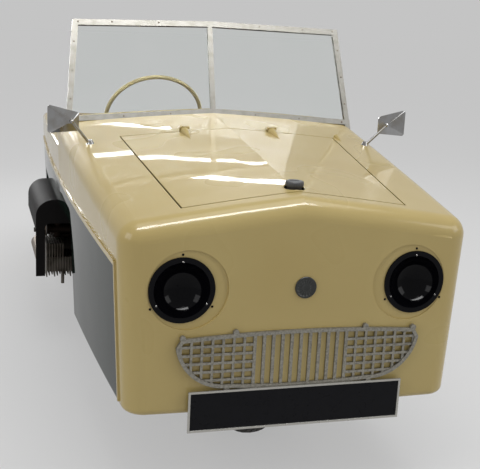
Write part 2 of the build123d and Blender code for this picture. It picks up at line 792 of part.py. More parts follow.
def wheel_rim(x, y, out):
    # Rim, dished disc and hub; the dish opens towards out.
    half = RIM_WIDTH / 2
    plane = Plane(origin=(0, 0, 0), x_dir=(0, 1, 0), z_dir=(0, 0, 1))
    well = Polyline(
        (RIM_RADIUS + 1.7, -half), (RIM_RADIUS + 1.7, half), (RIM_RADIUS - 3, half),
        (RIM_RADIUS - 3, half - 14), (RIM_RADIUS - 16, half - 18), (RIM_RADIUS - 16, -half + 18),
        (RIM_RADIUS - 3, -half + 14), (RIM_RADIUS - 3, -half), close=True,
    )
    rim = revolve(plane * make_face(well), Axis.X)
    disc = Polyline(
        (HUB_RADIUS - 6, 8 * out), (48, 14 * out), (70, 4 * out), (RIM_RADIUS - 10, 2 * out),
        (RIM_RADIUS - 10, -3 * out), (70, -2 * out), (48, 8 * out), (HUB_RADIUS - 6, 2 * out),
        close=True,
    )
    dish = revolve(plane * make_face(disc), Axis.X)
    hub = across(HUB_RADIUS, HUB_HALF, 0, 0, 0)
    bore = across(AXLE_RADIUS + AXLE_FIT, 100, 0, 0, 0)
    return at(x, y, TYRE_RADIUS) * (rim + dish + hub - bore)


def rear_wheel(side):
    x = side * REAR_TRACK / 2
    rim = wheel_rim(x, REAR_AXLE_Y, side)
    if side < 0:
        disc = across(SPROCKET_RADIUS, 2.5, SPROCKET_X, REAR_AXLE_Y, TYRE_RADIUS)
        sleeve = across(HUB_RADIUS - 2, 17, SPROCKET_X - 15, REAR_AXLE_Y, TYRE_RADIUS)
        bore = across(AXLE_RADIUS + AXLE_FIT, 200, x, REAR_AXLE_Y, TYRE_RADIUS)
        rim = rim + (disc + sleeve - bore)
    return rim


def trailing_arms():
    parts = []
    pivot_z = RAIL_TOP - RAIL_HEIGHT / 2
    pivot_from = RAIL_X + RAIL_WIDTH / 2 + TOUCH
    pivot_to = ARM_X + 16
    hub_end = REAR_TRACK / 2 + HUB_HALF
    for side in (-1, 1):
        x = side * ARM_X
        axle = (x, REAR_AXLE_Y, TYRE_RADIUS)
        arm = rod((x, ARM_PIVOT_Y, pivot_z), axle, 14)
        end = across(22, 16, *axle)
        middle = side * (pivot_to + pivot_from) / 2
        pivot = across(18, (pivot_to - pivot_from) / 2, middle, ARM_PIVOT_Y, pivot_z)
        shaft = rod(axle, (side * (hub_end + 12), REAR_AXLE_Y, TYRE_RADIUS), AXLE_RADIUS)
        nut = rod((side * (hub_end + 1), REAR_AXLE_Y, TYRE_RADIUS),
                  (side * (hub_end + 11), REAR_AXLE_Y, TYRE_RADIUS), 16)
        parts.append(arm + end + pivot + shaft + nut)
    return Compound(children=parts)


def cap_points(radius, depth):
    # Middle and end of a round cap's outline, from its pole to its rim.
    ball = (radius ** 2 + depth ** 2) / (2 * depth)
    turn = math.asin(min(1.0, radius / ball)) if depth <= radius else math.pi / 2
    middle = (ball * math.sin(turn / 2), depth - ball + ball * math.cos(turn / 2))
    return middle, (radius, 0)


def lamp_bowls():
    # Empty black headlamp bowls, each with a flat rim against the nose.
    rim = LAMP_RADIUS
    outer = rim - 10
    inner = rim - 14
    deep = LAMP_DEPTH
    section = make_face(Curve() + [
        Line((0, deep - 4), (0, deep)),
        ThreePointArc((0, deep), *cap_points(outer, deep)),
        Line((outer, 0), (rim, 0)),
        Line((rim, 0), (rim, -4)),
        Line((rim, -4), (inner, -4)),
        Line((inner, -4), (inner, 0)),
        ThreePointArc((inner, 0), *cap_points(inner, deep - 4)[:1], (0, deep - 4)),
    ])
    bowl = revolve(section, Axis.Y)
    parts = [at(side * LAMP_X, NOSE_Y + DISH_DEPTH, LAMP_Z) * bowl for side in (-1, 1)]
    return Compound(children=parts)


def badge_disc():
    face = Plane.XZ * (Pos(BADGE_X, BADGE_Z) * extrude(Circle(BADGE_RADIUS), 5))
    return at(0, NOSE_Y - 0.3, 0) * face


def grille_face():
    low_z = GRILLE_BOTTOM_Z + 8
    top = ThreePointArc(
        (GRILLE_HALF, GRILLE_CORNER_Z), (0, GRILLE_TOP_Z), (-GRILLE_HALF, GRILLE_CORNER_Z)
    )
    bottom = ThreePointArc(
        (-GRILLE_BOTTOM_HALF, low_z), (0, GRILLE_BOTTOM_Z), (GRILLE_BOTTOM_HALF, low_z)
    )
    edges = [top, bottom]
    for side in (-1, 1):
        corner = (side * GRILLE_HALF, GRILLE_CORNER_Z)
        tip = (side * GRILLE_TIP_HALF, GRILLE_TIP_Z)
        mid = (side * 308, 402)
        low = (side * GRILLE_BOTTOM_HALF, low_z)
        edges += [Line(corner, tip), ThreePointArc(tip, mid, low)]
    return make_face(Curve() + edges)


def mesh_bars():
    # Upright bars in the middle, and a square mesh out to both ends.
    middle = (GRILLE_TOP_Z + GRILLE_BOTTOM_Z) / 2
    tall = GRILLE_TOP_Z - GRILLE_BOTTOM_Z + 20
    bars = Sketch()
    for i in range(-5, 6):
        bars = bars + Pos(i * BAR_PITCH, middle) * Rectangle(BAR_WIDTH, tall)
    edge = 5 * BAR_PITCH
    for side in (-1, 1):
        for i in range(1, 8):
            bars = bars + Pos(side * (edge + MESH_PITCH * i), middle) * Rectangle(MESH_WIDTH, tall)
        for i in range(5):
            row = Rectangle(240, MESH_WIDTH)
            bars = bars + Pos(side * (edge + 120), MESH_ROW_Z + MESH_ROW_PITCH * i) * row
    return bars


def grille():
    face = grille_face()
    frame = face - offset(face, amount=-GRILLE_FRAME)
    bottom_z = GRILLE_BOTTOM_Z + 8
    for side in (-1, 1):
        for x, z in ((185, GRILLE_TOP_Z), (GRILLE_HALF - 4, GRILLE_CORNER_Z + 3)):
            frame = frame + Pos(side * x, z) * Circle(LUG_RADIUS)
        frame = frame + Pos(side * 205, bottom_z - 6) * Rectangle(14, 20)
    bars = mesh_bars() & offset(face, amount=-2)
    solid = Plane.XZ * (extrude(frame, GRILLE_DEPTH) + extrude(bars, GRILLE_BAR_DEPTH))
    solid = at(GRILLE_X, NOSE_Y - 0.3, 0) * solid
    for side in (-1, 1):
        for x, z in ((185, GRILLE_TOP_Z), (GRILLE_HALF - 4, GRILLE_CORNER_Z + 3)):
            here = GRILLE_X + side * x
            back = NOSE_Y + NOSE_BOW * (here / NOSE_HALF) ** 2 - TOUCH
            solid = solid + rod((here, NOSE_Y - 2, z), (here, back, z), 5)
    return solid


def front_plate():
    # A blank number plate with a raised edge, on two spacers.
    z = PLATE_Z + PLATE_HEIGHT / 2
    outline = Rectangle(2 * PLATE_HALF, PLATE_HEIGHT)
    ring = outline - Rectangle(2 * (PLATE_HALF - PLATE_EDGE), PLATE_HEIGHT - 2 * PLATE_EDGE)
    flat = Plane.XZ * extrude(Pos(0, z) * outline, -3)
    edge = Plane.XZ * extrude(Pos(0, z) * ring, 2)
    piece = flat + edge
    high = PLATE_Z + PLATE_HEIGHT - 22
    for x in (-220, 220):
        depth = NOSE_GAP - 2 - TOUCH + NOSE_BOW * (x / NOSE_HALF) ** 2
        piece = piece + rod((x, 2, high), (x, depth, high), 8)
    return at(0, -LENGTH / 2 + 2, 0) * piece


def fuel_tank():
    tank = block(-TANK_HALF, TANK_HALF, TANK_FRONT_Y, TANK_REAR_Y, TANK_BOTTOM, TANK_TOP)
    tank = fillet(tank.edges().filter_by(Axis.X), 20)
    neck = at(CAP_X, CAP_Y, TANK_TOP - 10) * extrude(Circle(20), bonnet_z(CAP_Y) - TANK_TOP + 12)
    legs = Part()
    for side in (-1, 1):
        top = (side * 140, TANK_REAR_Y - 20, TANK_BOTTOM + 8)
        legs = legs + rod(top, (side * RAIL_X, FIREWALL_Y - 25, POST_TOP + 4), 9)
    return tank + neck + (legs - CHASSIS)


def filler_cap():
    disc = extrude(Circle(CAP_RADIUS), CAP_HEIGHT - 4)
    disc = fillet(disc.edges().group_by(Axis.Z)[-1], 2)
    return at(CAP_X, CAP_Y, bonnet_z(CAP_Y) + 2 + TOUCH) * disc


def screen_plane():
    base = Vector(0, SCREEN_BASE_Y, SCREEN_BASE_Z)
    top = Vector(0, SCREEN_TOP_Y, SCREEN_TOP_Z)
    up = (top - base).normalized()
    return Plane(origin=base, x_dir=(1, 0, 0), z_dir=Vector(1, 0, 0).cross(up)), (top - base).length


def screen_face(inset):
    height = screen_plane()[1]
    i = inset
    outline = Polyline(
        (-SCREEN_BASE_HALF + i, i), (0, SCREEN_PEAK + i), (SCREEN_BASE_HALF - i, i),
        (SCREEN_TOP_HALF - i, height - i), (0, height + SCREEN_TOP_PEAK - i),
        (-SCREEN_TOP_HALF + i, height - i), close=True,
    )
    return make_face(outline)


def screen_post(side):
    # The side bar's lower end, carried down past the bottom rail into the wing.
    plane, height = screen_plane()
    run = (SCREEN_BASE_HALF - SCREEN_TOP_HALF) / height
    outer = SCREEN_BASE_HALF + run * POST_DOWN
    outline = Polyline(
        (side * SCREEN_BASE_HALF, 20), (side * outer, -POST_DOWN),
        (side * (outer - FRAME_WIDTH), -POST_DOWN), (side * (SCREEN_BASE_HALF - FRAME_WIDTH), 20),
        close=True,
    )
    return make_face(outline)


def windscreen_frame():
    plane, height = screen_plane()
    ring = screen_face(0) - screen_face(FRAME_WIDTH)
    post = Pos(0, height / 2 + 20) * Rectangle(FRAME_WIDTH - 2, height - 26)
    ends = screen_post(-1) + screen_post(1)
    solid = plane * extrude(ring + post + ends, FRAME_THICK / 2, both=True)
    slot = plane * extrude(screen_face(FRAME_WIDTH - 6), GLASS_THICK / 2 + 0.1, both=True)
    return solid - slot - FRONT


def windscreen_glass():
    plane, height = screen_plane()
    return plane * extrude(screen_face(FRAME_WIDTH - 5.5), GLASS_THICK / 2, both=True) - FRONT


def mirror_outline(share):
    # The head's outline from inner to outer edge, shrunk by a share towards its joint.
    inner_x, inner_low, inner_high = MIRROR_INNER
    outer_x, outer_low, outer_high = MIRROR_OUTER
    joint_x, joint_z = MIRROR_JOINT[0], MIRROR_JOINT[2]
    corners = ((inner_x, inner_low), (outer_x, outer_low), (outer_x, outer_high), (inner_x, inner_high))
    points = [(x + (joint_x - x) * share, z + (joint_z - z) * share) for x, z in corners]
    face = make_face(Polyline(*points, close=True))
    return fillet(face.vertices(), 8 * (1 - share))


def mirrors():
    # Tapered heads, pointed at the back, on short arms that stand on the wings.
    parts = []
    back = Plane(origin=(0, MIRROR_Y - MIRROR_RIM, 0), x_dir=(1, 0, 0), z_dir=(0, -1, 0))
    tip = Plane(origin=(0, MIRROR_JOINT[1] + 4, 0), x_dir=(1, 0, 0), z_dir=(0, -1, 0))
    head = loft([back * mirror_outline(0), tip * mirror_outline(0.8)], ruled=True)
    head = head + back * extrude(mirror_outline(0), -MIRROR_RIM)
    head = head + Location(MIRROR_JOINT) * Sphere(7)
    x, y = MIRROR_FOOT
    base = Vector(x, y, top_z(x, y) - 4)
    arm = rod(base, MIRROR_JOINT, 4.5)
    foot = Plane(origin=base, z_dir=Vector(0.1, -0.1, 1)) * (Pos(0, 0, 8) * Cone(14, 7, 16))
    piece = (head + arm + foot) - FRONT
    return Compound(children=[piece, mirror(piece, about=Plane.YZ)])


def dashboard():
    face = block(-800, 800, SCUTTLE_END_Y - PANEL, SCUTTLE_END_Y, 720, 1200)
    face = face & front_envelope(SKIN + TOUCH)
    return face - steering_line(COLUMN_RADIUS + TOUCH)


def seat_cushion():
    box = block(SEAT_RIGHT_X, SEAT_LEFT_X, SEAT_FRONT_Y, SEAT_BACK_Y - TOUCH, SEAT_Z, SEAT_TOP)
    return fillet(box.edges(), 22)


def seat_back():
    # Its right end stands on the shelf over the engine bay.
    rear = SEAT_BACK_Y + SEAT_BACK_THICK
    main = block(SEAT_RIGHT_X, SEAT_LEFT_X, SEAT_BACK_Y, rear, SEAT_Z + 60, SEAT_BACK_TOP)
    shelf = BAY_TOP_Z + PANEL + TOUCH
    end = block(-SEAT_LEFT_X, SEAT_RIGHT_X, SEAT_BACK_Y, rear, shelf, SEAT_BACK_TOP)
    piece = main + end
    outer = piece.edges().group_by(Axis.Z)[-1] + piece.edges().group_by(Axis.X)[-1]
    return fillet(outer, 22)


def seat_frame():
    # The low box that carries the cushion and the foot of the back, with the panel behind it.
    rear = COCKPIT_REAR_Y + PANEL / 2
    outer = block(SEAT_RIGHT_X, SEAT_LEFT_X, SEAT_FRONT_Y + 30, rear, BODY_BOTTOM, SEAT_Z - TOUCH)
    step = block(SEAT_RIGHT_X, SEAT_LEFT_X, SEAT_BACK_Y, rear, BODY_BOTTOM, SEAT_Z + 60 - TOUCH)
    hollow = block(SEAT_RIGHT_X + 20, SEAT_LEFT_X - 20, SEAT_FRONT_Y + 50, SEAT_BACK_Y - 20,
                   0, SEAT_Z + 100)
    panel = block(-800, 800, COCKPIT_REAR_Y, COCKPIT_REAR_Y + PANEL, BODY_BOTTOM, COCKPIT_TOP - 20)
    panel = panel & rear_envelope(SKIN + TOUCH)
    panel = panel - block(-900, BAY_INNER_X, 0, 900, 0, BAY_TOP_Z)
    return outer + step - hollow + panel


def engine_bay_panel():
    # The wall, roof and front that close the body off from the engine.
    roof = BAY_TOP_Z + PANEL
    rear = COCKPIT_REAR_Y - TOUCH
    wall = block(BAY_INNER_X, BAY_INNER_X + PANEL, BAY_FRONT_Y, rear, BODY_BOTTOM, roof)
    shelf = block(-800, BAY_INNER_X, SCUTTLE_END_Y, rear, BAY_TOP_Z, roof)
    shelf = shelf & plan_prism(WALL + TOUCH)
    front = block(-800, BAY_INNER_X, BAY_FRONT_Y, BAY_FRONT_Y + PANEL, BODY_BOTTOM, roof)
    top = block(-800, BAY_INNER_X, BAY_FRONT_Y, SCUTTLE_END_Y, BAY_TOP_Z, roof)
    return wall + shelf + ((front + top) & front_envelope(SKIN + TOUCH))


def engine_ribs():
    # Upright cooling ribs on the case's front, uneven at their lower ends.
    low_x, high_x = RIB_XS
    front = COWL_FRONT_Y + 14
    rear = ENGINE_Y - 55
    piece = block(low_x + 4, high_x - 4, front + 14, rear, CRANK_Z - 36, CRANK_Z + 22)
    piece = piece + block(low_x + 4, COWL_X, front + 30, rear, CRANK_Z, CRANK_Z + 72)
    for i in range(RIB_COUNT):
        x = low_x + RIB_PITCH * i
        low = RIB_BOTTOM_Z + 5 * (i % 3)
        high = CRANK_Z + (80 if x < COWL_X else 26)
        piece = piece + block(x - RIB_THICK / 2, x + RIB_THICK / 2, front + 4 * (i % 2), rear, low, high)
    return piece


def engine_crankcase():
    case = across(72, 62, ENGINE_X, ENGINE_Y, CRANK_Z)
    cover = across(62, 20, ENGINE_X - 80, ENGINE_Y, CRANK_Z)
    cover = fillet(cover.edges().group_by(Axis.X)[0], 10)
    gearbox = block(ENGINE_X - 40, SPROCKET_X - 12, ENGINE_Y + 40, ENGINE_Y + 190,
                    CRANK_Z - 55, CRANK_Z + 45)
    mount = block(ENGINE_X + 60, BAY_INNER_X - TOUCH, ENGINE_Y - 60, ENGINE_Y + 90,
                  CRANK_Z - 60, CRANK_Z - 40)
    sprocket = across(CHAIN_FRONT_RADIUS - TOUCH, 2.5, SPROCKET_X, *CHAIN_FRONT)
    shaft = across(14, 10, SPROCKET_X - 5, *CHAIN_FRONT)
    drain = rod((COWL_X + 3, -96, 300), (COWL_X + 3, -96, 238), 6.5)
    piece = case + cover + fillet(gearbox.edges(), 14) + mount + sprocket + shaft
    return piece + engine_ribs() + drain + kick_start()


def kick_start():
    # A starting lever outside the case, with a round pedal at its upper end.
    x = ENGINE_X - 106
    shaft = across(11, 10, x + 5, ENGINE_Y, CRANK_Z)
    arm = rod((x, ENGINE_Y, CRANK_Z), (x - 4, -46, 440), 6.5)
    pedal = across(9, 13, x - 11, -48, 447)
    return shaft + arm + pedal


def engine_cylinder():
    # A finned barrel and head, with the plug on top and the carburettor in front.
    z0 = CRANK_Z + 72
    top = z0 + 8 + FIN_PITCH * (FIN_COUNT - 1)
    piece = at(ENGINE_X, ENGINE_Y, z0 - 6) * extrude(Circle(BARREL_RADIUS), top - z0 + 14)
    for i in range(FIN_COUNT):
        fin = at(ENGINE_X, ENGINE_Y, z0 + 8 + FIN_PITCH * i) * extrude(Circle(FIN_RADIUS), 4)
        piece = piece + fin
    dome = at(ENGINE_X, ENGINE_Y, top) * extrude(Circle(FIN_RADIUS - 8), 14)
    piece = piece + dome
    for i in range(-3, 4):
        span = math.sqrt((FIN_RADIUS - 8) ** 2 - (13 * i) ** 2)
        rib = block(ENGINE_X + 13 * i - 2, ENGINE_X + 13 * i + 2, ENGINE_Y - span, ENGINE_Y + span,
                    top + 10, top + 30)
        piece = piece + rib
    plug = at(ENGINE_X, ENGINE_Y, top + 10) * extrude(Circle(8), 38)
    port_z = z0 + 46
    intake = rod((ENGINE_X, ENGINE_Y - 30, port_z), (ENGINE_X, ENGINE_Y - 98, port_z), 15)
    body = across(19, 46, ENGINE_X - 34, ENGINE_Y - 92, port_z)
    bell = across(24, 6, ENGINE_X - 74, ENGINE_Y - 92, port_z)
    float_bowl = at(ENGINE_X - 38, ENGINE_Y - 92, port_z - 34) * extrude(Circle(15), 62)
    piece = piece + plug + intake + body + bell + float_bowl
    return piece - across(72.2, 62.2, ENGINE_X, ENGINE_Y, CRANK_Z)


def cowl_face(inset, bottom):
    # The cowl's outline from the front: straight legs under a top with round corners.
    left = COWL_X - COWL_HALF + inset
    right = COWL_X + COWL_HALF - inset
    top = COWL_TOP_Z - inset
    face = make_face(Polyline((left, bottom), (left, top), (right, top), (right, bottom), close=True))
    corners = [v for v in face.vertices() if v.Y > top - 1]
    return fillet(corners, COWL_CORNER - inset)


def engine_cowl():
    # A hood over the engine with a deep frame in front, open at the sides below and behind.
    outer = cowl_face(0, COWL_BOTTOM_Z)
    hood = outer - cowl_face(COWL_THICK, COWL_BOTTOM_Z - 10)
    shell = at(0, COWL_FRONT_Y, 0) * (Plane.XZ * extrude(hood, COWL_FRONT_Y - COWL_REAR_Y))
    shell = shell - block(-900, 0, COWL_FRONT_Y + COWL_THICK, 900, 0, COWL_SIDE_Z)
    low = COWL_BOTTOM_Z - 10
    middle = (WINDOW_TOP_Z + low) / 2
    window = Pos(COWL_X, middle) * Rectangle(2 * (COWL_HALF - COWL_LEG), WINDOW_TOP_Z - low)
    window = fillet([v for v in window.vertices() if v.Y > middle], 18)
    front = at(0, COWL_FRONT_Y, 0) * (Plane.XZ * extrude(outer - window, -COWL_THICK))
    shell = shell + front
    side_x = COWL_X + COWL_HALF - COWL_THICK
    for y in (COWL_FRONT_Y + 30, COWL_REAR_Y - 50):
        shell = shell + block(side_x, BAY_INNER_X - TOUCH, y, y + 20, COWL_SIDE_Z, COWL_SIDE_Z + 20)
    return shell


def exhaust():
    # A bent pipe from the back of the cylinder to a round silencer below.
    port_z = CRANK_Z + 118
    start = (ENGINE_X, ENGINE_Y + FIN_RADIUS - 6, port_z)
    bend = (ENGINE_X - 20, ENGINE_Y + 110, port_z)
    knee = (SILENCER_X, ENGINE_Y + 150, port_z - 60)
    foot = (SILENCER_X, ENGINE_Y + 170, SILENCER_Z)
    piece = rod(start, bend, 14) + Location(bend) * Sphere(14)
    piece = piece + rod(bend, knee, 14) + Location(knee) * Sphere(14)
    piece = piece + rod(knee, foot, 14)
    box = rod(foot, (SILENCER_X, ENGINE_Y + 520, SILENCER_Z), 30)
    box = fillet(box.edges(), 8)
    tail = rod((SILENCER_X, ENGINE_Y + 510, SILENCER_Z), (SILENCER_X, ENGINE_Y + 600, SILENCER_Z), 11)
    room = at(ENGINE_X, ENGINE_Y, CRANK_Z) * extrude(Circle(FIN_RADIUS + TOUCH), 200)
    return (piece + box + tail) - room


def drive_chain():
    # The chain from the gearbox to the right rear wheel, as one loop round both sprockets.
    small = CHAIN_FRONT_RADIUS
    large = SPROCKET_RADIUS + CHAIN_GAP
    a = Vector(CHAIN_FRONT[0], CHAIN_FRONT[1])
    b = Vector(REAR_AXLE_Y, TYRE_RADIUS)
    run = (b - a).length
    along = (b - a).normalized()
    side = Vector(-along.Y, along.X)
    lean = math.asin((large - small) / run)
    loops = []
    for grow in (CHAIN_THICK, 0):
        near = []
        far = []
        for sign in (1, -1):
            out = side * (sign * math.cos(lean)) - along * math.sin(lean)
            near.append(a + out * (small + grow))
            far.append(b + out * (large + grow))
        front = ThreePointArc(near[1], a - along * (small + grow), near[0])
        back = ThreePointArc(far[0], b + along * (large + grow), far[1])
        edges = [front, Line(near[0], far[0]), back, Line(far[1], near[1])]
        loops.append(make_face(Curve() + edges))
    plane = Plane(origin=(SPROCKET_X - CHAIN_WIDTH / 2, 0, 0), x_dir=(0, 1, 0), z_dir=(1, 0, 0))
    return plane * extrude(loops[0] - loops[1], CHAIN_WIDTH)


def tail_lamps():
    parts = []
    for side in (-1, 1):
        face = (side * TAIL_LAMP_X, TAIL_Y + 0.3, TAIL_LAMP_Z)
        back = (side * TAIL_LAMP_X, LENGTH / 2, TAIL_LAMP_Z)
        parts.append(rod(face, back, TAIL_LAMP_RADIUS))
    return Compound(children=parts)


def side_mouldings():
    front = LID_FRONT_Y
    parts = [
        moulding(-1, front, COCKPIT_REAR_Y) + corner_bead(-1),
        moulding(1, front, DOOR_FRONT_Y - SHUT / 2) + corner_bead(1),
        moulding(1, DOOR_REAR_Y + SHUT / 2, COCKPIT_REAR_Y),
    ]
    return Compound(children=parts)


def build():
    half_track = REAR_TRACK / 2
    return {
        "nose_panel": nose_panel(),
        "bonnet_lid": bonnet_lid(),
        "panel_hinges": panel_hinges(),
        "bonnet_surround": bonnet_surround(),
        "left_side_panel": side_panel(1),
        "right_side_panel": side_panel(-1),
        "side_mouldings": side_mouldings(),
        "left_door": left_door(),
        "left_body_side": left_body_side(),
        "right_body_side": right_body_side(),
        "tail_panel": tail_panel(),
        "rear_wheel_arches": rear_wheel_arches(),
        "firewall": firewall(),
        "steering_column": steering_column(),
        "steering_wheel": steering_wheel(),
        "floor_pan": floor_pan(),
        "chassis_frame": CHASSIS,
        "front_fork": front_fork(),
        "front_tyre": tyre(0, FRONT_AXLE_Y),
        "front_wheel": wheel_rim(0, FRONT_AXLE_Y, 1),
        "left_rear_tyre": tyre(half_track, REAR_AXLE_Y),
        "left_rear_wheel": rear_wheel(1),
        "right_rear_tyre": tyre(-half_track, REAR_AXLE_Y),
        "right_rear_wheel": rear_wheel(-1),
        "trailing_arms": trailing_arms(),
        "headlamp_bowls": lamp_bowls(),
        "nose_badge": badge_disc(),
        "grille": grille(),
        "front_plate": front_plate(),
        "fuel_tank": fuel_tank(),
        "filler_cap": filler_cap(),
        "windscreen_frame": windscreen_frame(),
        "windscreen_glass": windscreen_glass(),
        "mirrors": mirrors(),
        "dashboard": dashboard(),
        "seat_cushion": seat_cushion(),
        "seat_back": seat_back(),
        "seat_frame": seat_frame(),
        "engine_bay_panel": engine_bay_panel(),
        "engine_crankcase": engine_crankcase(),
        "engine_cylinder": engine_cylinder(),
        "engine_cowl": engine_cowl(),
        "exhaust": exhaust(),
        "drive_chain": drive_chain(),
        "tail_lamps": tail_lamps(),
    }


os.makedirs("parts", exist_ok=True)
for name, piece in build().items():
    solids = piece.solids()
    shape = solids[0] if len(solids) == 1 else Compound(children=solids)
    export_step(shape, f"parts/{name}.step")
print("steering axis", steer_point(0), steer_point(100))
print("lid hinge", LID_REAR_Y, LID_HINGE_Z, "door hinge", DOOR_HINGE_X, DOOR_HINGE_Y)
print("steering wheel", column_point(0), column_point(100))
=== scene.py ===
# %% [markdown]
# This lesson dresses a small open three wheeled car.  Its shape was drawn in a CAD program and
# is loaded here as a fixed frame.  We add the finishes, the soft seats, the tyres' tread and the
# small fittings, then a floor, lamps and a camera that stands where the photographer stood.
# The frame comes first, because every later piece takes its place from it.

# %% Load the frame
import bmesh
import bpy
import json
import math
import numpy as np
from mathutils import Matrix, Vector


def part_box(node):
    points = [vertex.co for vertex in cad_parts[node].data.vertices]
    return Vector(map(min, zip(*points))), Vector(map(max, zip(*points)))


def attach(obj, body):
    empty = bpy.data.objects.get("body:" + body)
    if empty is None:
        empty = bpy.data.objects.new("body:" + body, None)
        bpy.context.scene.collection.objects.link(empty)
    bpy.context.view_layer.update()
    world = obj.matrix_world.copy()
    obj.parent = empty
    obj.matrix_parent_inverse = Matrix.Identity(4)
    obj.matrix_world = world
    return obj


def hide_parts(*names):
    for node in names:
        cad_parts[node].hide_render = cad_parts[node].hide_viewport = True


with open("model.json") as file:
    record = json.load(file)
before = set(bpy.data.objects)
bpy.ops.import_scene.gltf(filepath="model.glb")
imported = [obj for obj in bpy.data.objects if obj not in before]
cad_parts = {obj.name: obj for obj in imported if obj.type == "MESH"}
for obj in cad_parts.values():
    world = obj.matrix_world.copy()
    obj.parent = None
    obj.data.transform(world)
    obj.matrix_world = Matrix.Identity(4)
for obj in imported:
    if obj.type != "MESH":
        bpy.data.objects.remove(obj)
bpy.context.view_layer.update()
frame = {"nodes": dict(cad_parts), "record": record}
nodes = frame["nodes"]

# %% [markdown]
# A finish in Blender is a graph of nodes.  Drawing graphs by hand is slow to read, so we write
# them as sums instead: one small class holds a socket and turns + - * / into Math nodes, and one
# method makes every other kind of node.


# %% A way to write shaders as sums
class Wire:
    """One value in a finish.  Sums of wires add Math nodes."""

    def __init__(self, finish, socket):
        self.finish = finish
        self.socket = socket

    def math(self, operation, *terms, clamp=False):
        """A Math node on any number of wires and numbers."""
        settings = {"operation": operation, "use_clamp": clamp}
        return self.finish.node("ShaderNodeMath", settings, dict(enumerate(terms)))

    def __add__(self, other):
        return self.math("ADD", self, other)

    def __radd__(self, other):
        return self.math("ADD", other, self)

    def __sub__(self, other):
        return self.math("SUBTRACT", self, other)

    def __rsub__(self, other):
        return self.math("SUBTRACT", other, self)

    def __mul__(self, other):
        return self.math("MULTIPLY", self, other)

    def __rmul__(self, other):
        return self.math("MULTIPLY", other, self)

    def __truediv__(self, other):
        return self.math("DIVIDE", self, other)

    def step(self, edge, soft):
        """0 below edge, 1 above it, over a run of soft."""
        return self.math("ADD", (self - edge) / soft, 0.5, clamp=True)

    def size(self):
        """The value without its sign."""
        return self.math("ABSOLUTE", self)


class Finish:
    """A material with one Principled shader, written step by step."""

    def __init__(self, name, **plain):
        self.material = bpy.data.materials.new(name)
        self.material.use_nodes = True
        self.tree = self.material.node_tree
        self.tree.nodes.clear()
        output = self.tree.nodes.new("ShaderNodeOutputMaterial")
        self.shader = self.tree.nodes.new("ShaderNodeBsdfPrincipled")
        self.tree.links.new(self.shader.outputs[0], output.inputs["Surface"])
        self.place = self.node("ShaderNodeTexCoord", out="Object")
        for key, value in plain.items():
            self.shader.inputs[key.replace("_", " ")].default_value = value

    def node(self, kind, settings=None, sockets=None, out=0):
        """A node of any kind: its settings first, then the values or wires of its sockets."""
        made = self.tree.nodes.new(kind)
        for key, value in (settings or {}).items():
            setattr(made, key, value)
        for key, value in (sockets or {}).items():
            if isinstance(value, Wire):
                self.tree.links.new(value.socket, made.inputs[key])
            else:
                made.inputs[key].default_value = value
        return Wire(self, made.outputs[out])

    def axis(self, name):
        """X, Y or Z of the point, in metres in the car's frame."""
        return self.node("ShaderNodeSeparateXYZ", None, {0: self.place}, out=name)

    def noise(self, scale, detail=3.0, rough=0.55):
        """Soft random patches, about 1 / scale metres across."""
        sockets = {"Vector": self.place, "Scale": scale, "Detail": detail, "Roughness": rough}
        return self.node("ShaderNodeTexNoise", None, sockets)

    def bands(self, axis, scale):
        """Even waves along X, Y or Z."""
        settings = {"wave_type": "BANDS", "bands_direction": axis}
        return self.node("ShaderNodeTexWave", settings, {"Vector": self.place, "Scale": scale})

    def cells(self, scale, feature):
        """Small random cells, read as the distance to a centre or an edge."""
        sockets = {"Vector": self.place, "Scale": scale}
        return self.node("ShaderNodeTexVoronoi", {"feature": feature}, sockets)

    def blend(self, share, one, two):
        """Colour one where share is 0, two where it is 1."""
        sockets = {0: share, 6: one, 7: two}
        return self.node("ShaderNodeMix", {"data_type": "RGBA"}, sockets, out=2)

    def set(self, key, value):
        """Give a socket of the shader a wire or a plain value."""
        if isinstance(value, Wire):
            self.tree.links.new(value.socket, self.shader.inputs[key])
        else:
            self.shader.inputs[key].default_value = value

    def bump(self, height, distance, under=None):
        """Height in units of distance metres, turned into a tilt of the surface."""
        sockets = {"Height": height, "Distance": distance, "Strength": 1.0}
        if under is not None:
            sockets["Normal"] = under
        return self.node("ShaderNodeBump", None, sockets)


def ink(red, green, blue):
    """A colour as a screen shows it, 0 to 255, as the linear numbers that Blender uses."""
    def linear(v):
        v = v / 255
        return v / 12.92 if v <= 0.04045 else ((v + 0.055) / 1.055) ** 2.4
    return (linear(red), linear(green), linear(blue), 1.0)


def grey(value):
    """A linear grey from 0, black, to 1, white."""
    return (value, value, value, 1.0)


print("helpers ready")

# %% [markdown]
# The body is finished in two colours of old gloss paint: cream above the side moulding and a
# green so dark that it mirrors the floor below it.  The paint was laid over hand beaten panels,
# so its highlights wander.  Two sizes of very shallow wave give that, and they show only in
# reflections, as on the real car.

# %% Cream and dark paint
CREAM = ink(190, 170, 112)
CREAM_DEEP = ink(176, 153, 94)
DARK = ink(12, 24, 18)
DARK_DUSTY = ink(22, 36, 29)
LINE_START, LINE_Z, LINE_RISE = -1.485, 0.683, 0.055 / 1.905


def paint_tilt(finish, wave):
    """Hand made waves 0.2 m long, with shallower ones 60 mm long over them."""
    wide = finish.bump(finish.noise(5.0, 1.5, rough=0.3), wave)
    return finish.bump(finish.noise(17.0, 0.0), 0.0002, under=wide)


def belt_height(finish):
    """The moulding's lower edge, and on the tail a line 90 mm under the deck's two slopes."""
    y = finish.axis("Y")
    line = (y - LINE_START) * LINE_RISE + LINE_Z
    steep = 0.760 - (y - 0.420) * 0.600
    shallow = 0.610 - (y - 0.670) * 0.172
    deck = steep.math("MAXIMUM", steep, shallow)
    return line.math("MINIMUM", line, deck)


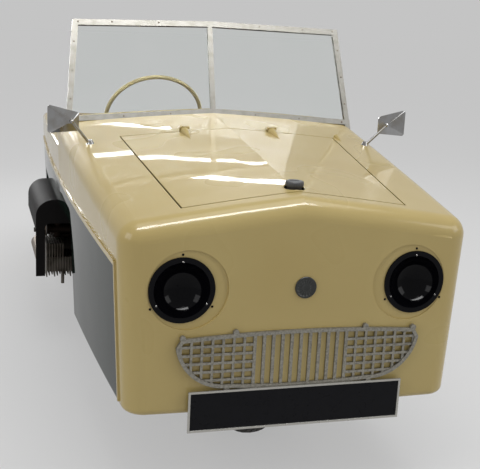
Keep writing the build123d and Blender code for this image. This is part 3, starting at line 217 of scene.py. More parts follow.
def cream_shade(finish):
    """Cream that has gone deeper in wide patches."""
    patches = finish.noise(3.0, 1.0)
    return finish.blend(patches.step(0.55, 0.5) * 0.6, CREAM, CREAM_DEEP)


def cream_paint():
    """Cream under a clear coat, over hand made waves."""
    finish = Finish("cream_gloss_paint", Specular_IOR_Level=0.14,
                    Coat_Weight=0.5, Coat_Roughness=0.02)
    finish.set("Base Color", cream_shade(finish))
    finish.set("Roughness", 0.24 + 0.10 * finish.noise(6.0, 0.0))
    finish.set("Normal", paint_tilt(finish, 0.0028))
    return finish.material


def dark_shade(finish):
    """Dark green with dust in wide patches."""
    return finish.blend(finish.noise(4.0), DARK, DARK_DUSTY)


def dark_paint():
    """Almost black green, smooth as glass in places, with one wide wave."""
    finish = Finish("dark_gloss_paint", IOR=1.42, Specular_IOR_Level=0.06)
    finish.set("Base Color", dark_shade(finish))
    finish.set("Roughness", 0.03 * finish.noise(20.0, 4.0))
    finish.set("Normal", finish.bump(finish.noise(4.0, 1.0), 0.0009))
    return finish.material


def two_tone_paint():
    """Cream above the belt and dark green below it; only the cream has a clear coat."""
    finish = Finish("two_tone_paint", IOR=1.42, Specular_IOR_Level=0.08, Coat_Roughness=0.02)
    above = (finish.axis("Z") - belt_height(finish)).step(0.0, 0.002)
    finish.set("Base Color", finish.blend(above, dark_shade(finish), cream_shade(finish)))
    finish.set("Roughness", 0.07 + 0.05 * finish.noise(6.0, 0.0) + 0.05 * above)
    finish.set("Coat Weight", 0.5 * above)
    finish.set("Normal", paint_tilt(finish, 0.0018))
    return finish.material


paints = {"cream": cream_paint(), "dark": dark_paint(), "two_tone": two_tone_paint()}
print("paints", len(paints))

# %% [markdown]
# The metals differ in how they have aged.  The screen frame and grille are dulled aluminium with
# fine pits, the mirrors are chrome, the engine's castings are stained with oil, and the exhaust
# and chain are browned steel.  One recipe with other numbers makes all of them but the grille.

# %% Metals
def aged_metal(name, bright, stained, rough, spread, pits, patch=30.0):
    """Metal that is stained and rougher in patches, with pits of the depth given in metres."""
    finish = Finish(name, Metallic=1.0)
    patches = finish.noise(patch, 5.0)
    finish.set("Base Color", finish.blend(patches.step(0.56, 0.3), bright, stained))
    finish.set("Roughness", rough + spread * patches)
    finish.set("Normal", finish.bump(finish.noise(420.0, 2.0), pits))
    return finish.material


def cast_grille():
    """Dull cast aluminium, dark in its pits."""
    finish = Finish("cast_grille", Metallic=0.85)
    pits = finish.noise(160.0, 4.0)
    dark, bare = ink(104, 101, 93), ink(150, 147, 138)
    finish.set("Base Color", finish.blend(pits.step(0.42, 0.4), dark, bare))
    finish.set("Roughness", 0.40 + 0.12 * finish.noise(60.0, 3.0))
    finish.set("Normal", finish.bump(pits, 0.0003))
    return finish.material


metals = {
    "trim": aged_metal("dull_aluminium", ink(150, 148, 142), ink(132, 130, 122),
                       0.34, 0.12, 0.00008),
    "grille": cast_grille(),
    "chrome": aged_metal("bright_chrome", grey(0.34), ink(140, 136, 130), 0.04, 0.08, 0.00002),
    "alloy": aged_metal("oily_casting", ink(96, 91, 84), ink(52, 45, 38),
                        0.46, 0.26, 0.0004, 18.0),
    "iron": aged_metal("black_iron", ink(48, 40, 36), ink(36, 26, 22), 0.52, 0.28, 0.0005),
    "steel": aged_metal("plain_steel", ink(128, 121, 112), ink(98, 76, 58),
                        0.40, 0.32, 0.0002, 18.0),
}
print("metals", sorted(metals))

# %% [markdown]
# The other finishes are plain to the eye, but none is one flat colour: rubber carries dust, the
# maroon leathercloth has a grain of small cells, and black paint has a bloom of dirt.

# %% Rubber and leathercloth
def tyre_rubber():
    """Grey black rubber with brown dust in patches."""
    finish = Finish("tyre_rubber")
    dust = finish.noise(18.0, 5.0)
    dusty = dust.step(0.58, 0.35) * 0.5
    finish.set("Base Color", finish.blend(dusty, ink(38, 38, 39), ink(92, 86, 76)))
    finish.set("Roughness", 0.62 + 0.25 * dust)
    finish.set("Normal", finish.bump(finish.noise(300.0, 3.0), 0.0003))
    return finish.material


def floor_rubber():
    """A mat whose ribs are waves along X."""
    finish = Finish("ribbed_mat")
    dust = finish.noise(12.0, 5.0)
    finish.set("Base Color", finish.blend(dust, ink(40, 40, 40), ink(78, 73, 66)))
    finish.set("Roughness", 0.7 + 0.2 * finish.noise(40.0))
    finish.set("Normal", finish.bump(finish.bands("X", 20.0), 0.0015))
    return finish.material


def leathercloth():
    """Maroon cloth with a grain of small cells, paler where it is worn."""
    finish = Finish("maroon_leathercloth", Sheen_Weight=0.15)
    grain = finish.cells(520.0, "DISTANCE_TO_EDGE")
    worn = finish.noise(7.0, 4.0)
    red, pale = ink(104, 26, 32), ink(128, 44, 44)
    finish.set("Base Color", finish.blend(worn.step(0.55, 0.4), red, pale))
    finish.set("Roughness", 0.42 + 0.18 * worn)
    finish.set("Normal", finish.bump(grain.step(0.12, 0.2), 0.00035))
    return finish.material


soft = {"tyre": tyre_rubber(), "mat": floor_rubber(), "leather": leathercloth()}
print("soft finishes", sorted(soft))

# %% [markdown]
# Black comes in four kinds here: satin paint on the chassis, gloss enamel in the lamp bowls, a
# moulded plastic, and soot on the engine's tunnel.  The plate is gloss black inside a silver
# border, which the finish finds from the point's place, so it needs no geometry of its own.

# %% Black paint, plastic and the plate
def black_paint():
    """Satin black with patches of dirt."""
    finish = Finish("satin_black_paint")
    dirt = finish.noise(9.0, 6.0)
    dirty = dirt.step(0.6, 0.25) * 0.5
    finish.set("Base Color", finish.blend(dirty, ink(32, 32, 32), ink(82, 73, 60)))
    finish.set("Roughness", 0.38 + 0.35 * dirt)
    finish.set("Normal", finish.bump(finish.noise(160.0, 3.0), 0.0003))
    return finish.material


def smooth_plastic(name, one, two, rough, peel=0.00006, shine=0.5):
    """A smooth skin of two near colours; peel is the depth of its unevenness in metres."""
    finish = Finish(name, Specular_IOR_Level=shine)
    marks = finish.noise(16.0, 5.0)
    finish.set("Base Color", finish.blend(marks, one, two))
    finish.set("Roughness", rough + 0.10 * marks)
    finish.set("Normal", finish.bump(finish.noise(60.0, 2.0), peel))
    return finish.material


PLATE_BORDER = 0.006


def plate_enamel():
    """Silver where the point is near the plate's outline, black inside it."""
    low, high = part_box("front_plate")
    finish = Finish("plate_enamel", Specular_IOR_Level=0.12)
    width, height = (high[0] - low[0]) / 2, (high[2] - low[2]) / 2
    aside = (finish.axis("X") - (low[0] + high[0]) / 2).size() - (width - PLATE_BORDER)
    across = (finish.axis("Z") - (low[2] + high[2]) / 2).size() - (height - PLATE_BORDER)
    border = aside.math("MAXIMUM", aside, across).step(0.0, 0.0008)
    scuffs = finish.noise(45.0, 5.0)
    face = finish.blend(scuffs, ink(9, 9, 13), ink(18, 18, 22))
    finish.set("Base Color", finish.blend(border, face, ink(176, 174, 168)))
    finish.set("Metallic", 0.8 * border)
    finish.set("Roughness", 0.22 + 0.14 * scuffs)
    finish.set("Normal", finish.bump(border, 0.0009))
    return finish.material


blacks = {
    "paint": black_paint(),
    "gloss": smooth_plastic("gloss_black", ink(4, 4, 7), ink(9, 9, 13), 0.03, shine=0.10),
    "cap": smooth_plastic("cap_plastic", ink(58, 60, 62), ink(78, 79, 80), 0.35),
    "soot": smooth_plastic("sooty_black", ink(11, 10, 12), ink(22, 19, 18), 0.55, 0.0004, 0.10),
    "badge": smooth_plastic("badge_enamel", ink(17, 19, 18), ink(38, 41, 38), 0.25),
    "plate": plate_enamel(),
}
print("blacks", sorted(blacks))

# %% [markdown]
# The screen is flat glass that has gone very slightly hazy, and the tail lamps are moulded red
# lenses with fine ribs.  Both let light through.

# %% Glass, lenses and ivory
def screen_glass():
    """Clear glass, a little rough where the haze is."""
    finish = Finish("flat_glass", Transmission_Weight=1.0, IOR=1.45)
    haze = finish.noise(5.0)
    finish.set("Base Color", finish.blend(haze, ink(250, 252, 251), ink(243, 247, 245)))
    finish.set("Roughness", 0.03 * finish.noise(9.0, 5.0).step(0.62, 0.3))
    return finish.material


def red_lens():
    """Red moulding that lets some light through, ribbed along Z."""
    finish = Finish("red_lens", Transmission_Weight=0.25, Coat_Weight=0.5)
    patches = finish.noise(30.0)
    finish.set("Base Color", finish.blend(patches, ink(150, 14, 14), ink(120, 8, 10)))
    finish.set("Roughness", 0.15 + 0.1 * patches)
    finish.set("Normal", finish.bump(finish.bands("Z", 80.0), 0.0006))
    return finish.material


clear = {
    "glass": screen_glass(),
    "red": red_lens(),
    "ivory": smooth_plastic("ivory_plastic", ink(214, 200, 152), ink(198, 180, 128), 0.18),
}
print("clear finishes", sorted(clear))

# %% [markdown]
# Each CAD piece takes the finish of its material slot.  The door, the body sides and the tail
# cross the moulding line, so they take the two tone paint, and a few small pieces are painted
# with the body or cast, whatever their slot is called.

# %% Give each piece its finish
BY_SLOT = {
    "cream_paint": paints["cream"], "dark_paint": paints["dark"], "black_paint": blacks["paint"],
    "trim_metal": metals["trim"], "bright_chrome": metals["chrome"],
    "engine_alloy": metals["alloy"], "engine_iron": metals["iron"], "steel": metals["steel"],
    "tyre_rubber": soft["tyre"], "screen_glass": clear["glass"], "maroon_leather": soft["leather"],
    "ivory_plastic": clear["ivory"], "black_plastic": blacks["gloss"], "red_lens": clear["red"],
    "floor_rubber": soft["mat"],
}
BY_NAME = {
    "left_door": paints["two_tone"], "left_body_side": paints["two_tone"],
    "right_body_side": paints["two_tone"], "tail_panel": paints["two_tone"],
    "panel_hinges": paints["two_tone"], "side_mouldings": paints["cream"],
    "grille": metals["grille"], "front_plate": blacks["plate"], "filler_cap": blacks["cap"],
    "engine_cowl": blacks["soot"],
}


def dress(piece, material):
    """Put the finish in every material slot of a piece."""
    if not piece.material_slots:
        piece.data.materials.append(material)
    for holder in piece.material_slots:
        holder.material = material


slot_of = {part["node"]: part["material_slot"] for part in frame["record"]["subparts"]}
members = frame["record"]["behaviour"]["bodies"]
body_of = {name: body for body, names in members.items() for name in names}
for name, slot in slot_of.items():
    dress(nodes[name], BY_NAME.get(name, BY_SLOT[slot]))
print("dressed", len(slot_of), "pieces")

# %% [markdown]
# Small fittings are worked out as arrays of points.  A grid of points becomes a skin by joining
# each point to its neighbours in its row and in the next row; a turned piece is a profile carried
# round an axis; and many alike are one array with a place added to each copy.  That is quicker
# and more exact than editing by hand, and one number changes all of them.

# %% Meshes from arrays
ANY_SLANT = (0.31, 0.17, 0.93)
AWAY = 0.2


def skin(rows, columns, close_rows=False, close_columns=True):
    """Corners of each cell of a grid whose points are numbered row by row."""
    i = np.arange(rows if close_rows else rows - 1)
    j = np.arange(columns if close_columns else columns - 1)
    i, j = (a.ravel() for a in np.meshgrid(i, j, indexing="ij"))
    after, beside = (i + 1) % rows, (j + 1) % columns
    return np.stack([i * columns + j, i * columns + beside, after * columns + beside,
                     after * columns + j], axis=1)


def around(steps):
    """Even angles round a full turn."""
    return np.linspace(0, 2 * np.pi, steps, endpoint=False)


def middle_of(name):
    """The centre of a CAD piece's box."""
    low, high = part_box(name)
    return (np.array(low) + np.array(high)) / 2


def turned(profile, steps):
    """A profile of (radius, height) pairs carried round Z: x = r cos a, y = r sin a, z = h."""
    profile = np.asarray(profile, float)
    a = around(steps)
    r, h = profile[:, :1], profile[:, 1:]
    return np.stack([r * np.cos(a), r * np.sin(a), h + 0 * a], axis=-1), skin(len(profile), steps)


def aim(points, centre, direction):
    """Turn Z into the direction given and move the origin to the centre given."""
    z = np.asarray(direction, float) / np.linalg.norm(direction)
    x = np.cross(z, ANY_SLANT)
    x = x / np.linalg.norm(x)
    axes = np.stack([x, np.cross(z, x), z])
    return points.reshape(-1, 3) @ axes + np.asarray(centre, float)


def many(points, faces, centres, directions):
    """Copies of one small shape, each aimed and placed, as one list of points and faces."""
    count = points.reshape(-1, 3).shape[0]
    placed = [aim(points, c, d) for c, d in zip(centres, directions)]
    return np.concatenate(placed), np.concatenate([faces + k * count for k in range(len(placed))])


def weld(mesh, reach):
    """Join points closer than reach, then turn every face outwards."""
    work = bmesh.new()
    work.from_mesh(mesh)
    bmesh.ops.remove_doubles(work, verts=work.verts, dist=reach)
    bmesh.ops.recalc_face_normals(work, faces=work.faces)
    work.to_mesh(mesh)
    work.free()


def add_piece(name, points, faces, body, finish, flat=False):
    """A Blender object from points and faces, welded, facing outwards and riding on a body."""
    mesh = bpy.data.meshes.new(name)
    mesh.from_pydata(points.reshape(-1, 3).tolist(), [], faces.tolist())
    weld(mesh, 1e-6)
    mesh.polygons.foreach_set("use_smooth", np.full(len(mesh.polygons), not flat))
    piece = bpy.data.objects.new(name, mesh)
    bpy.context.scene.collection.objects.link(piece)
    dress(piece, finish)
    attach(piece, body)
    print(name, len(mesh.polygons), "faces")
    return piece


def touch(name, start, direction):
    """Where a line from start first meets a CAD piece, and which way its surface faces."""
    found, place, facing, _ = nodes[name].ray_cast(Vector(start), Vector(direction).normalized())
    if not found:
        raise RuntimeError(f"no surface of {name} from {start}")
    return np.array(place), np.array(facing)


print("shape helpers ready")

# %% [markdown]
# A tyre of the time has a zigzag tread between notched shoulders, and two thin rings on each
# wall.  Its section is a list of (across, radius) points; the grooves are steps in that list, so
# they stay crisp with few points.  Carried round the axle, the tread's points swing from side to
# side, and the shoulder's points sink at every notch.

# %% Tyres with tread
def tyre_section(half, outer, inner):
    """Half widths and radii from one bead over the tread to the other, and back along the rim."""
    wall = [(0.76, inner), (0.86, inner + 0.006), (0.93, inner + 0.018), (0.945, inner + 0.024),
            (0.965, inner + 0.025), (0.985, inner + 0.036), (1.0, inner + 0.052),
            (0.985, inner + 0.066), (0.965, inner + 0.072), (0.955, inner + 0.0735),
            (0.925, inner + 0.0745), (0.87, outer - 0.0145), (0.80, outer - 0.0085)]
    wall = [(x * half, r) for x, r in wall]
    tread = [(0.036, 0.0062), (0.0355, 0.0058), (0.0300, 0.0045), (0.0272, 0.0040),
             (0.0266, 0.0082), (0.0234, 0.0078), (0.0228, 0.0024), (0.0160, 0.0014),
             (0.0107, 0.0008), (0.0101, 0.0055), (0.0069, 0.0053), (0.0063, 0.0004)]
    tread = [(x, outer - drop) for x, drop in tread]
    side = wall + tread
    other_side = [(x, r) for x, r in reversed(side)]
    return np.array([(-x, r) for x, r in side] + [(0.0, outer)] + other_side)


BEAD_RADIUS = 0.1127
TREAD_BARS, STEPS_A_BAR = 56, 8
SWING, NOTCH = 0.0022, 0.0032
TREAD_EDGE, SHOULDER_EDGE, SHOULDER_DROP = 0.0290, 0.0298, 0.0140


def tyre_points(name):
    """x = across + swing(a), radius = section - notch(a), carried round the axle by a."""
    low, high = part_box(name)
    centre = middle_of(name)
    half, outer = (high[0] - low[0]) / 2, (high[2] - low[2]) / 2
    section = tyre_section(half, outer, BEAD_RADIUS)
    steps = TREAD_BARS * STEPS_A_BAR
    a = np.arange(steps) * 2 * np.pi / steps
    beat = np.arange(steps) % STEPS_A_BAR
    swing = SWING * (np.abs(beat - 4) / 2 - 1)
    notch = NOTCH * np.isin(beat, (5, 6, 7))
    x, r = section[:, :1], section[:, 1:]
    on_tread = np.clip((TREAD_EDGE - np.abs(x)) / 0.002, 0, 1)
    on_shoulder = (np.abs(x) > SHOULDER_EDGE) & (r > outer - SHOULDER_DROP)
    x = x + on_tread * swing
    r = r - on_shoulder * notch
    points = np.stack([x + 0 * a, r * np.sin(a), r * np.cos(a)], axis=-1) + centre
    return points, skin(len(section), steps, close_rows=True)


for name in ("front_tyre", "left_rear_tyre", "right_rear_tyre"):
    points, faces = tyre_points(name)
    tyre = add_piece(name.replace("tyre", "treaded_tyre"), points, faces, body_of[name],
                     soft["tyre"])
    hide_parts(name)

# %% [markdown]
# Each wheel is held by four nuts.  A nut is a six sided turned profile with a chamfer and its
# stud; the place where it sits is found by sending a line at the wheel.

# %% Wheel nuts
NUT = [(0, 0), (0.0095, 0), (0.0095, 0.0065), (0.0080, 0.0080), (0.0050, 0.0080),
       (0.0050, 0.0120), (0.0042, 0.0130), (0, 0.0130)]
NUT_ANGLES = np.radians([45, 135, 225, 315])
NUT_CIRCLE = 0.047


def wheel_nuts(wheel, side):
    """Four nuts on a circle round the wheel's axis, on the side given as 1 or -1."""
    starts = [middle_of(wheel) + [side * AWAY, NUT_CIRCLE * math.cos(a), NUT_CIRCLE * math.sin(a)]
              for a in NUT_ANGLES]
    places = [touch(wheel, s, (-side, 0, 0))[0] for s in starts]
    points, faces = many(*turned(NUT, 6), places, [(side, 0, 0)] * len(places))
    return add_piece(f"{wheel}_nuts", points, faces, body_of[wheel], metals["steel"],
                     flat=True)


for wheel, side in (("front_wheel", 1), ("left_rear_wheel", 1), ("right_rear_wheel", -1)):
    wheel_nuts(wheel, side)

# %% [markdown]
# The seven inch lamps are gone, and each opening is closed by a black bowl.  Three bright screws
# hold the bowl.  Just outside it, at the same angles, the nose has three small holes; they are
# drawn as gloss black screws, whose black is painted shade of the holes.

# %% Screws of the lamp bowls
SCREW = [(0, 0), (0.0030, 0), (0.0028, 0.0008), (0.0020, 0.0014), (0.0006, 0.0016), (0, 0.0016)]
LAMP_SCREW_ANGLES = np.radians([90, 210, 330])
LAMP_PLACES = [(0.329, 0.634), (-0.329, 0.634)]
BEFORE_NOSE = -1.60


def ring_of_screws(name, node, reach, scale, finish):
    """Three screws round each lamp, reach metres from its centre."""
    starts = [(x + reach * math.cos(a), BEFORE_NOSE, z + reach * math.sin(a))
              for x, z in LAMP_PLACES for a in LAMP_SCREW_ANGLES]
    places = [touch(node, s, (0, 1, 0))[0] for s in starts]
    points, faces = many(*turned(np.array(SCREW) * scale, 16), places, [(0, -1, 0)] * len(places))
    return add_piece(name, points, faces, "car_body", finish)


ring_of_screws("bowl_screws", "headlamp_bowls", reach=0.0775, scale=0.9,
               finish=metals["chrome"])
# The black screws in the nose paint the shade of three holes there.
ring_of_screws("nose_hole_shade_screws", "nose_panel", reach=0.0955, scale=1.15,
               finish=blacks["gloss"])

# %% [markdown]
# The filler cap stands in the bonnet's front.  It is a moulded cap with a finger grip, so its
# radius falls and rises as it goes round, on the rim only: r = R (1 + depth (cos 24a - 1) / 2).

# %% Filler cap
GRIPS, GRIP_DEPTH = 24, 0.022
HOLE_REACH, HOLE_STEPS, ABOVE_LID = 0.0355, 96, 1.2


def filler_cap():
    """The cap's profile is turned, then drawn in between the grips."""
    low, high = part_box("filler_cap")
    radius, height = (high[0] - low[0]) / 2, high[2] - low[2]
    profile = np.array([(0, 0), (0.97, 0), (0.99, 0.08), (0.99, 0.72), (0.95, 0.92), (0.86, 1.0),
                        (0.55, 0.98), (0.50, 0.86), (0.12, 0.84), (0, 0.84)])
    points, faces = turned(profile * [radius, height], 192)
    a = np.arctan2(points[..., 1], points[..., 0])
    grip = ((profile[:, 0] > 0.9) * GRIP_DEPTH)[:, None] * (np.cos(GRIPS * a) - 1) / 2
    points[..., :2] *= (1 + grip)[..., None]
    points = points + [*middle_of("filler_cap")[:2], low[2]]
    cap = add_piece("ribbed_filler_cap", points, faces, "car_body", blacks["cap"])
    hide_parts("filler_cap")
    return cap


def cap_lip():
    """The rolled edge of the hole round the cap, painted with the lid and lifted with it."""
    x, y = middle_of("filler_cap")[:2]
    a = around(HOLE_STEPS)
    over = zip(x + HOLE_REACH * np.cos(a), y + HOLE_REACH * np.sin(a))
    rim = [touch("bonnet_lid", (*point, ABOVE_LID), (0, 0, -1))[0][2] for point in over]
    section = np.array([(0.0290, -0.0030), (0.0288, -0.0004), (0.0305, 0.0010),
                        (0.0335, 0.0008), (0.0352, -0.0002), (0.0352, -0.0008),
                        (0.0320, -0.0012), (0.0305, -0.0030)])
    r, h = section[:, :1], section[:, 1:]
    points = np.stack([x + r * np.cos(a), y + r * np.sin(a), h + np.array(rim)], axis=-1)
    faces = skin(len(section), HOLE_STEPS, close_rows=True)
    return add_piece("cap_hole_lip", points, faces, "bonnet", paints["cream"])


filler_cap()
cap_lip()

# %% [markdown]
# The badge between the lamps is a small dark disc.  Here it is a plain generic one: a rim, a
# shallow dish and a ring of short flutes, all from one turned profile.

# %% Badge
FLUTES, FLUTE_DEPTH = 16, 0.0007


def nose_badge():
    """A turned disc whose dish rises and falls as it goes round."""
    low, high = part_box("nose_badge")
    radius = (high[0] - low[0]) / 2
    profile = np.array([(0, 0.0015), (0.30, 0.0015), (0.34, 0.0026), (0.40, 0.0026),
                        (0.44, 0.0018), (0.80, 0.0018), (0.84, 0.0036), (0.93, 0.0040),
                        (1.0, 0.0030), (1.0, 0.0)])
    profile = profile * [radius, 1.0]
    points, faces = turned(np.vstack([profile, [(0, 0)]]), 160)
    a = np.arctan2(points[..., 1], points[..., 0])
    reach = np.hypot(points[..., 0], points[..., 1]) / radius
    fluted = (reach > 0.43) & (reach < 0.81)
    points[..., 2] += fluted * FLUTE_DEPTH * np.cos(FLUTES * a)
    x, _, z = middle_of("nose_badge")
    centre = [x, high[1] - 0.0002, z]
    badge = add_piece("plain_badge", aim(points, centre, (0, -1, 0)), faces, "car_body",
                      blacks["badge"])
    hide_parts("nose_badge")
    return badge


nose_badge()

# %% [markdown]
# Round the screen, small screws hold the frame's outer strip.  A function gives a point of the
# leaning screen, and a line sent at it from ahead, square to the glass, finds the metal.

# %% Screws of the screen frame
BASE_Y, BASE_Z, SETBACK, RISE = -0.465, 0.931, 0.118, 0.342
BASE_HALF, TAPER = 0.524, 0.031
BASE_PEAK, TOP_PEAK = 0.033, 0.012
INTO_GLASS, SLOPE = (0, 0.9453, -0.3262), 0.345
SCREW_ASIDE, SCREW_INWARD = 0.010, 0.009


def screen_point(across, up):
    """A point of the screen: across from -1 to 1, up from 0 at the base to 1 at the top."""
    half = BASE_HALF - TAPER * up
    peak = (BASE_PEAK + (TOP_PEAK - BASE_PEAK) * up) * (1 - abs(across))
    return across * half, BASE_Y + SETBACK * up + SETBACK / RISE * peak, BASE_Z + RISE * up + peak


def screen_screws():
    """Rows of (across, up, step aside, step up) along the top, the base and both sides."""
    inward = [(a, 1, 0, -1) for a in (-0.96, -0.72, -0.38, 0.38, 0.72, 0.96)]
    inward += [(a, 0, 0, 1) for a in (-0.94, -0.62, -0.30, 0.30, 0.62, 0.94)]
    inward += [(side, up, -side, 0) for side in (-1, 1) for up in (0.22, 0.5, 0.78)]
    places, facings = [], []
    for across, up, aside, upward in inward:
        x, y, z = screen_point(across, up)
        start = (x + aside * SCREW_ASIDE, y - AWAY, z + upward * SCREW_INWARD + AWAY * SLOPE)
        place, facing = touch("windscreen_frame", start, INTO_GLASS)
        places.append(place)
        facings.append(facing)
    points, faces = many(*turned(SCREW, 16), places, facings)
    return add_piece("screen_screws", points, faces, "car_body", metals["steel"])


screen_screws()

# %% [markdown]
# Each tail lamp has a thin bright rim that clamps its red lens.  The rim is a small ellipse
# carried round the lamp's axis.

# %% Tail lamp rims
RIM_GAP, RIM_WIDE, RIM_OUT, RIM_TALL = 0.0004, 0.0022, 0.0030, 0.0026


def tail_lamp_rims():
    """A small ellipse carried round each lens, so the rim is a ring with no ends."""
    low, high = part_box("tail_lamps")
    radius = (high[2] - low[2]) / 2
    a = around(14)
    profile = np.stack([radius + RIM_GAP + RIM_WIDE * np.cos(a),
                        RIM_OUT + RIM_TALL * np.sin(a)], axis=1)
    points, _ = turned(profile, 72)
    faces = skin(len(profile), 72, close_rows=True)
    centres = [(side * (high[0] - radius), low[1], (low[2] + high[2]) / 2) for side in (-1, 1)]
    points, faces = many(points, faces, centres, [(0, 1, 0)] * 2)
    return add_piece("tail_lamp_rims", points, faces, "car_body",
                     metals["chrome"])


tail_lamp_rims()

# %% [markdown]
# The chain drives the right rear wheel.  Its pins stand one pitch apart on a closed path of two
# straight runs and two arcs; each pair of pins is joined by two side plates, wide at the pins and
# waisted between them.  The path is measured as arc length, so that pins come out evenly.

# %% Drive chain
PITCH = 0.0127
FRONT_SPROCKET, REAR_SPROCKET = ((0.210, 0.320), 0.0385), ((1.0, 0.208), 0.0865)
PLATE_WIDTH, PLATE_THICK = 0.0086, 0.0009
ROLLER_RADIUS, ROLLER_HALF = 0.0036, 0.0034
PLATE_OFFSETS, OUTER_STEP = (-0.0036, 0.0027), 0.0003


def loop_points(front, front_radius, rear, rear_radius):
    """Points one pitch apart on the belt line round two circles in the (y, z) plane."""
    front, rear = np.array(front), np.array(rear)
    gap = np.linalg.norm(rear - front)
    along = (rear - front) / gap
    aside = np.array([-along[1], along[0]])
    lean = math.asin((rear_radius - front_radius) / gap)

    def arc(centre, radius, start, stop):
        a = np.linspace(start, stop, 240)[:, None]
        return centre + radius * (np.cos(a) * along + np.sin(a) * aside)

    over = math.pi / 2 + lean
    path = np.vstack([arc(front, front_radius, over, 2 * math.pi - over),
                      arc(rear, rear_radius, -over, over)])
    path = np.vstack([path, path[:1]])
    travel = np.concatenate([[0], np.cumsum(np.linalg.norm(np.diff(path, axis=0), axis=1))])
    count = int(travel[-1] / PITCH / 2) * 2
    wanted = np.arange(count) * travel[-1] / count
    return np.stack([np.interp(wanted, travel, path[:, k]) for k in (0, 1)], axis=1)


def side_plate(length, width, thick):
    """An outline waisted in the middle, y = sin t (0.8 + 0.2 cos 2t), closed top and bottom."""
    t = around(20)
    half = width / 2 * (0.80 + 0.20 * np.cos(2 * t))
    outline = np.stack([np.cos(t) * (length / 2 + width / 2), np.sin(t) * half], axis=1)
    rings = [0 * outline, outline, outline, 0 * outline]
    heights = [0, 0, thick, thick]
    points = np.stack([np.column_stack([r, np.full(len(t), h)]) for r, h in zip(rings, heights)])
    return points, skin(len(rings), len(t))


def drive_chain():
    """Rows of side plates, turned along the path by its own steps, and a roller at each pin."""
    middle = middle_of("drive_chain")[0]
    pins = loop_points(*FRONT_SPROCKET, *REAR_SPROCKET)
    ahead = np.roll(pins, -1, axis=0)
    centre, along = ((pins + ahead) / 2)[:, None], ((ahead - pins) / PITCH)[:, None]
    plate, plate_faces = side_plate(PITCH, PLATE_WIDTH, PLATE_THICK)
    local = plate.reshape(-1, 3)
    numbers = np.arange(len(pins))
    parts, faces, base = [], [], 0
    for offset in PLATE_OFFSETS:
        wide = offset + np.where(numbers % 2, 0.0, math.copysign(OUTER_STEP, offset))
        y = centre[..., 0] + local[:, 0] * along[..., 0] - local[:, 1] * along[..., 1]
        z = centre[..., 1] + local[:, 0] * along[..., 1] + local[:, 1] * along[..., 0]
        x = middle + wide[:, None] + local[:, 2] + 0 * y
        parts.append(np.stack([x, y, z], axis=-1).reshape(-1, 3))
        shifted = plate_faces[None] + base + numbers[:, None, None] * len(local)
        faces.append(shifted.reshape(-1, 4))
        base += len(pins) * len(local)
    roller = turned([(0, -ROLLER_HALF), (ROLLER_RADIUS, -ROLLER_HALF),
                     (ROLLER_RADIUS, ROLLER_HALF), (0, ROLLER_HALF)], 10)
    pin_places = np.column_stack([np.full(len(pins), middle), pins])
    rolls, roll_faces = many(*roller, pin_places, [(1, 0, 0)] * len(pins))
    parts.append(rolls)
    faces.append(roll_faces + base)
    chain = add_piece("roller_chain", np.concatenate(parts), np.concatenate(faces), "car_body",
                      metals["steel"], flat=True)
    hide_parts("drive_chain")
    print("chain pins", len(pins))
    return chain


drive_chain()

# %% [markdown]
# Ahead of the driver the panel carries one round instrument and three pull knobs, as such cars
# have.  The dial's marks are thin raised bars set round it; it bears no words.  Everything is
# aimed along the surface normal where a line from the seat meets the panel.

# %% Instrument and knobs
BEZEL = [(0.036, 0.000), (0.040, 0.000), (0.0415, 0.0030), (0.040, 0.0062), (0.0370, 0.0070),
         (0.0352, 0.0050), (0.0350, 0.0012)]
DIAL_FACE = 0.0012
DIAL = [(0, DIAL_FACE), (0.0352, DIAL_FACE), (0.0352, 0.0004), (0, 0.0004)]
KNOB = [(0, 0), (0.0045, 0), (0.0045, 0.012), (0.0095, 0.014), (0.0105, 0.018), (0.0085, 0.0225),
        (0.0040, 0.0240), (0, 0.0242)]


BOX_FACES = np.array([(0, 1, 3, 2), (4, 6, 7, 5), (0, 4, 5, 1),
                      (2, 3, 7, 6), (0, 2, 6, 4), (1, 5, 7, 3)])
LONG_MARK, SHORT_MARK = (0.0004, 0.0262, 0.0325), (0.0004, 0.0262, 0.0300)
NEEDLE = (0.0012, -0.006, 0.0240)
DIAL_X, DIAL_Z = -0.02, 0.80
KNOBS_X, KNOBS_Z = (0.06, 0.11, 0.16), 0.745
BEHIND_PANEL = 0.2


def bar(thick, near, far):
    """The eight corners of a flat bar from near to far along X."""
    spans = np.meshgrid([near, far], [-0.0008, 0.0008], [DIAL_FACE, DIAL_FACE + thick],
                        indexing="ij")
    return np.stack([a.ravel() for a in spans], axis=1)


def dial_marks(count, start, stop):
    """Bars turned by equal angles, long and short by turns; the last one is the needle."""
    shapes = [SHORT_MARK if number % 2 else LONG_MARK for number in range(count)] + [NEEDLE]
    angles = np.radians(np.append(np.linspace(start, stop, count), start + 6))
    parts = []
    for shape, a in zip(shapes, angles):
        spin = [(math.cos(a), math.sin(a), 0), (-math.sin(a), math.cos(a), 0), (0, 0, 1)]
        parts.append(bar(*shape) @ np.array(spin))
    faces = [BOX_FACES + 8 * number for number in range(len(parts))]
    return np.concatenate(parts), np.concatenate(faces)


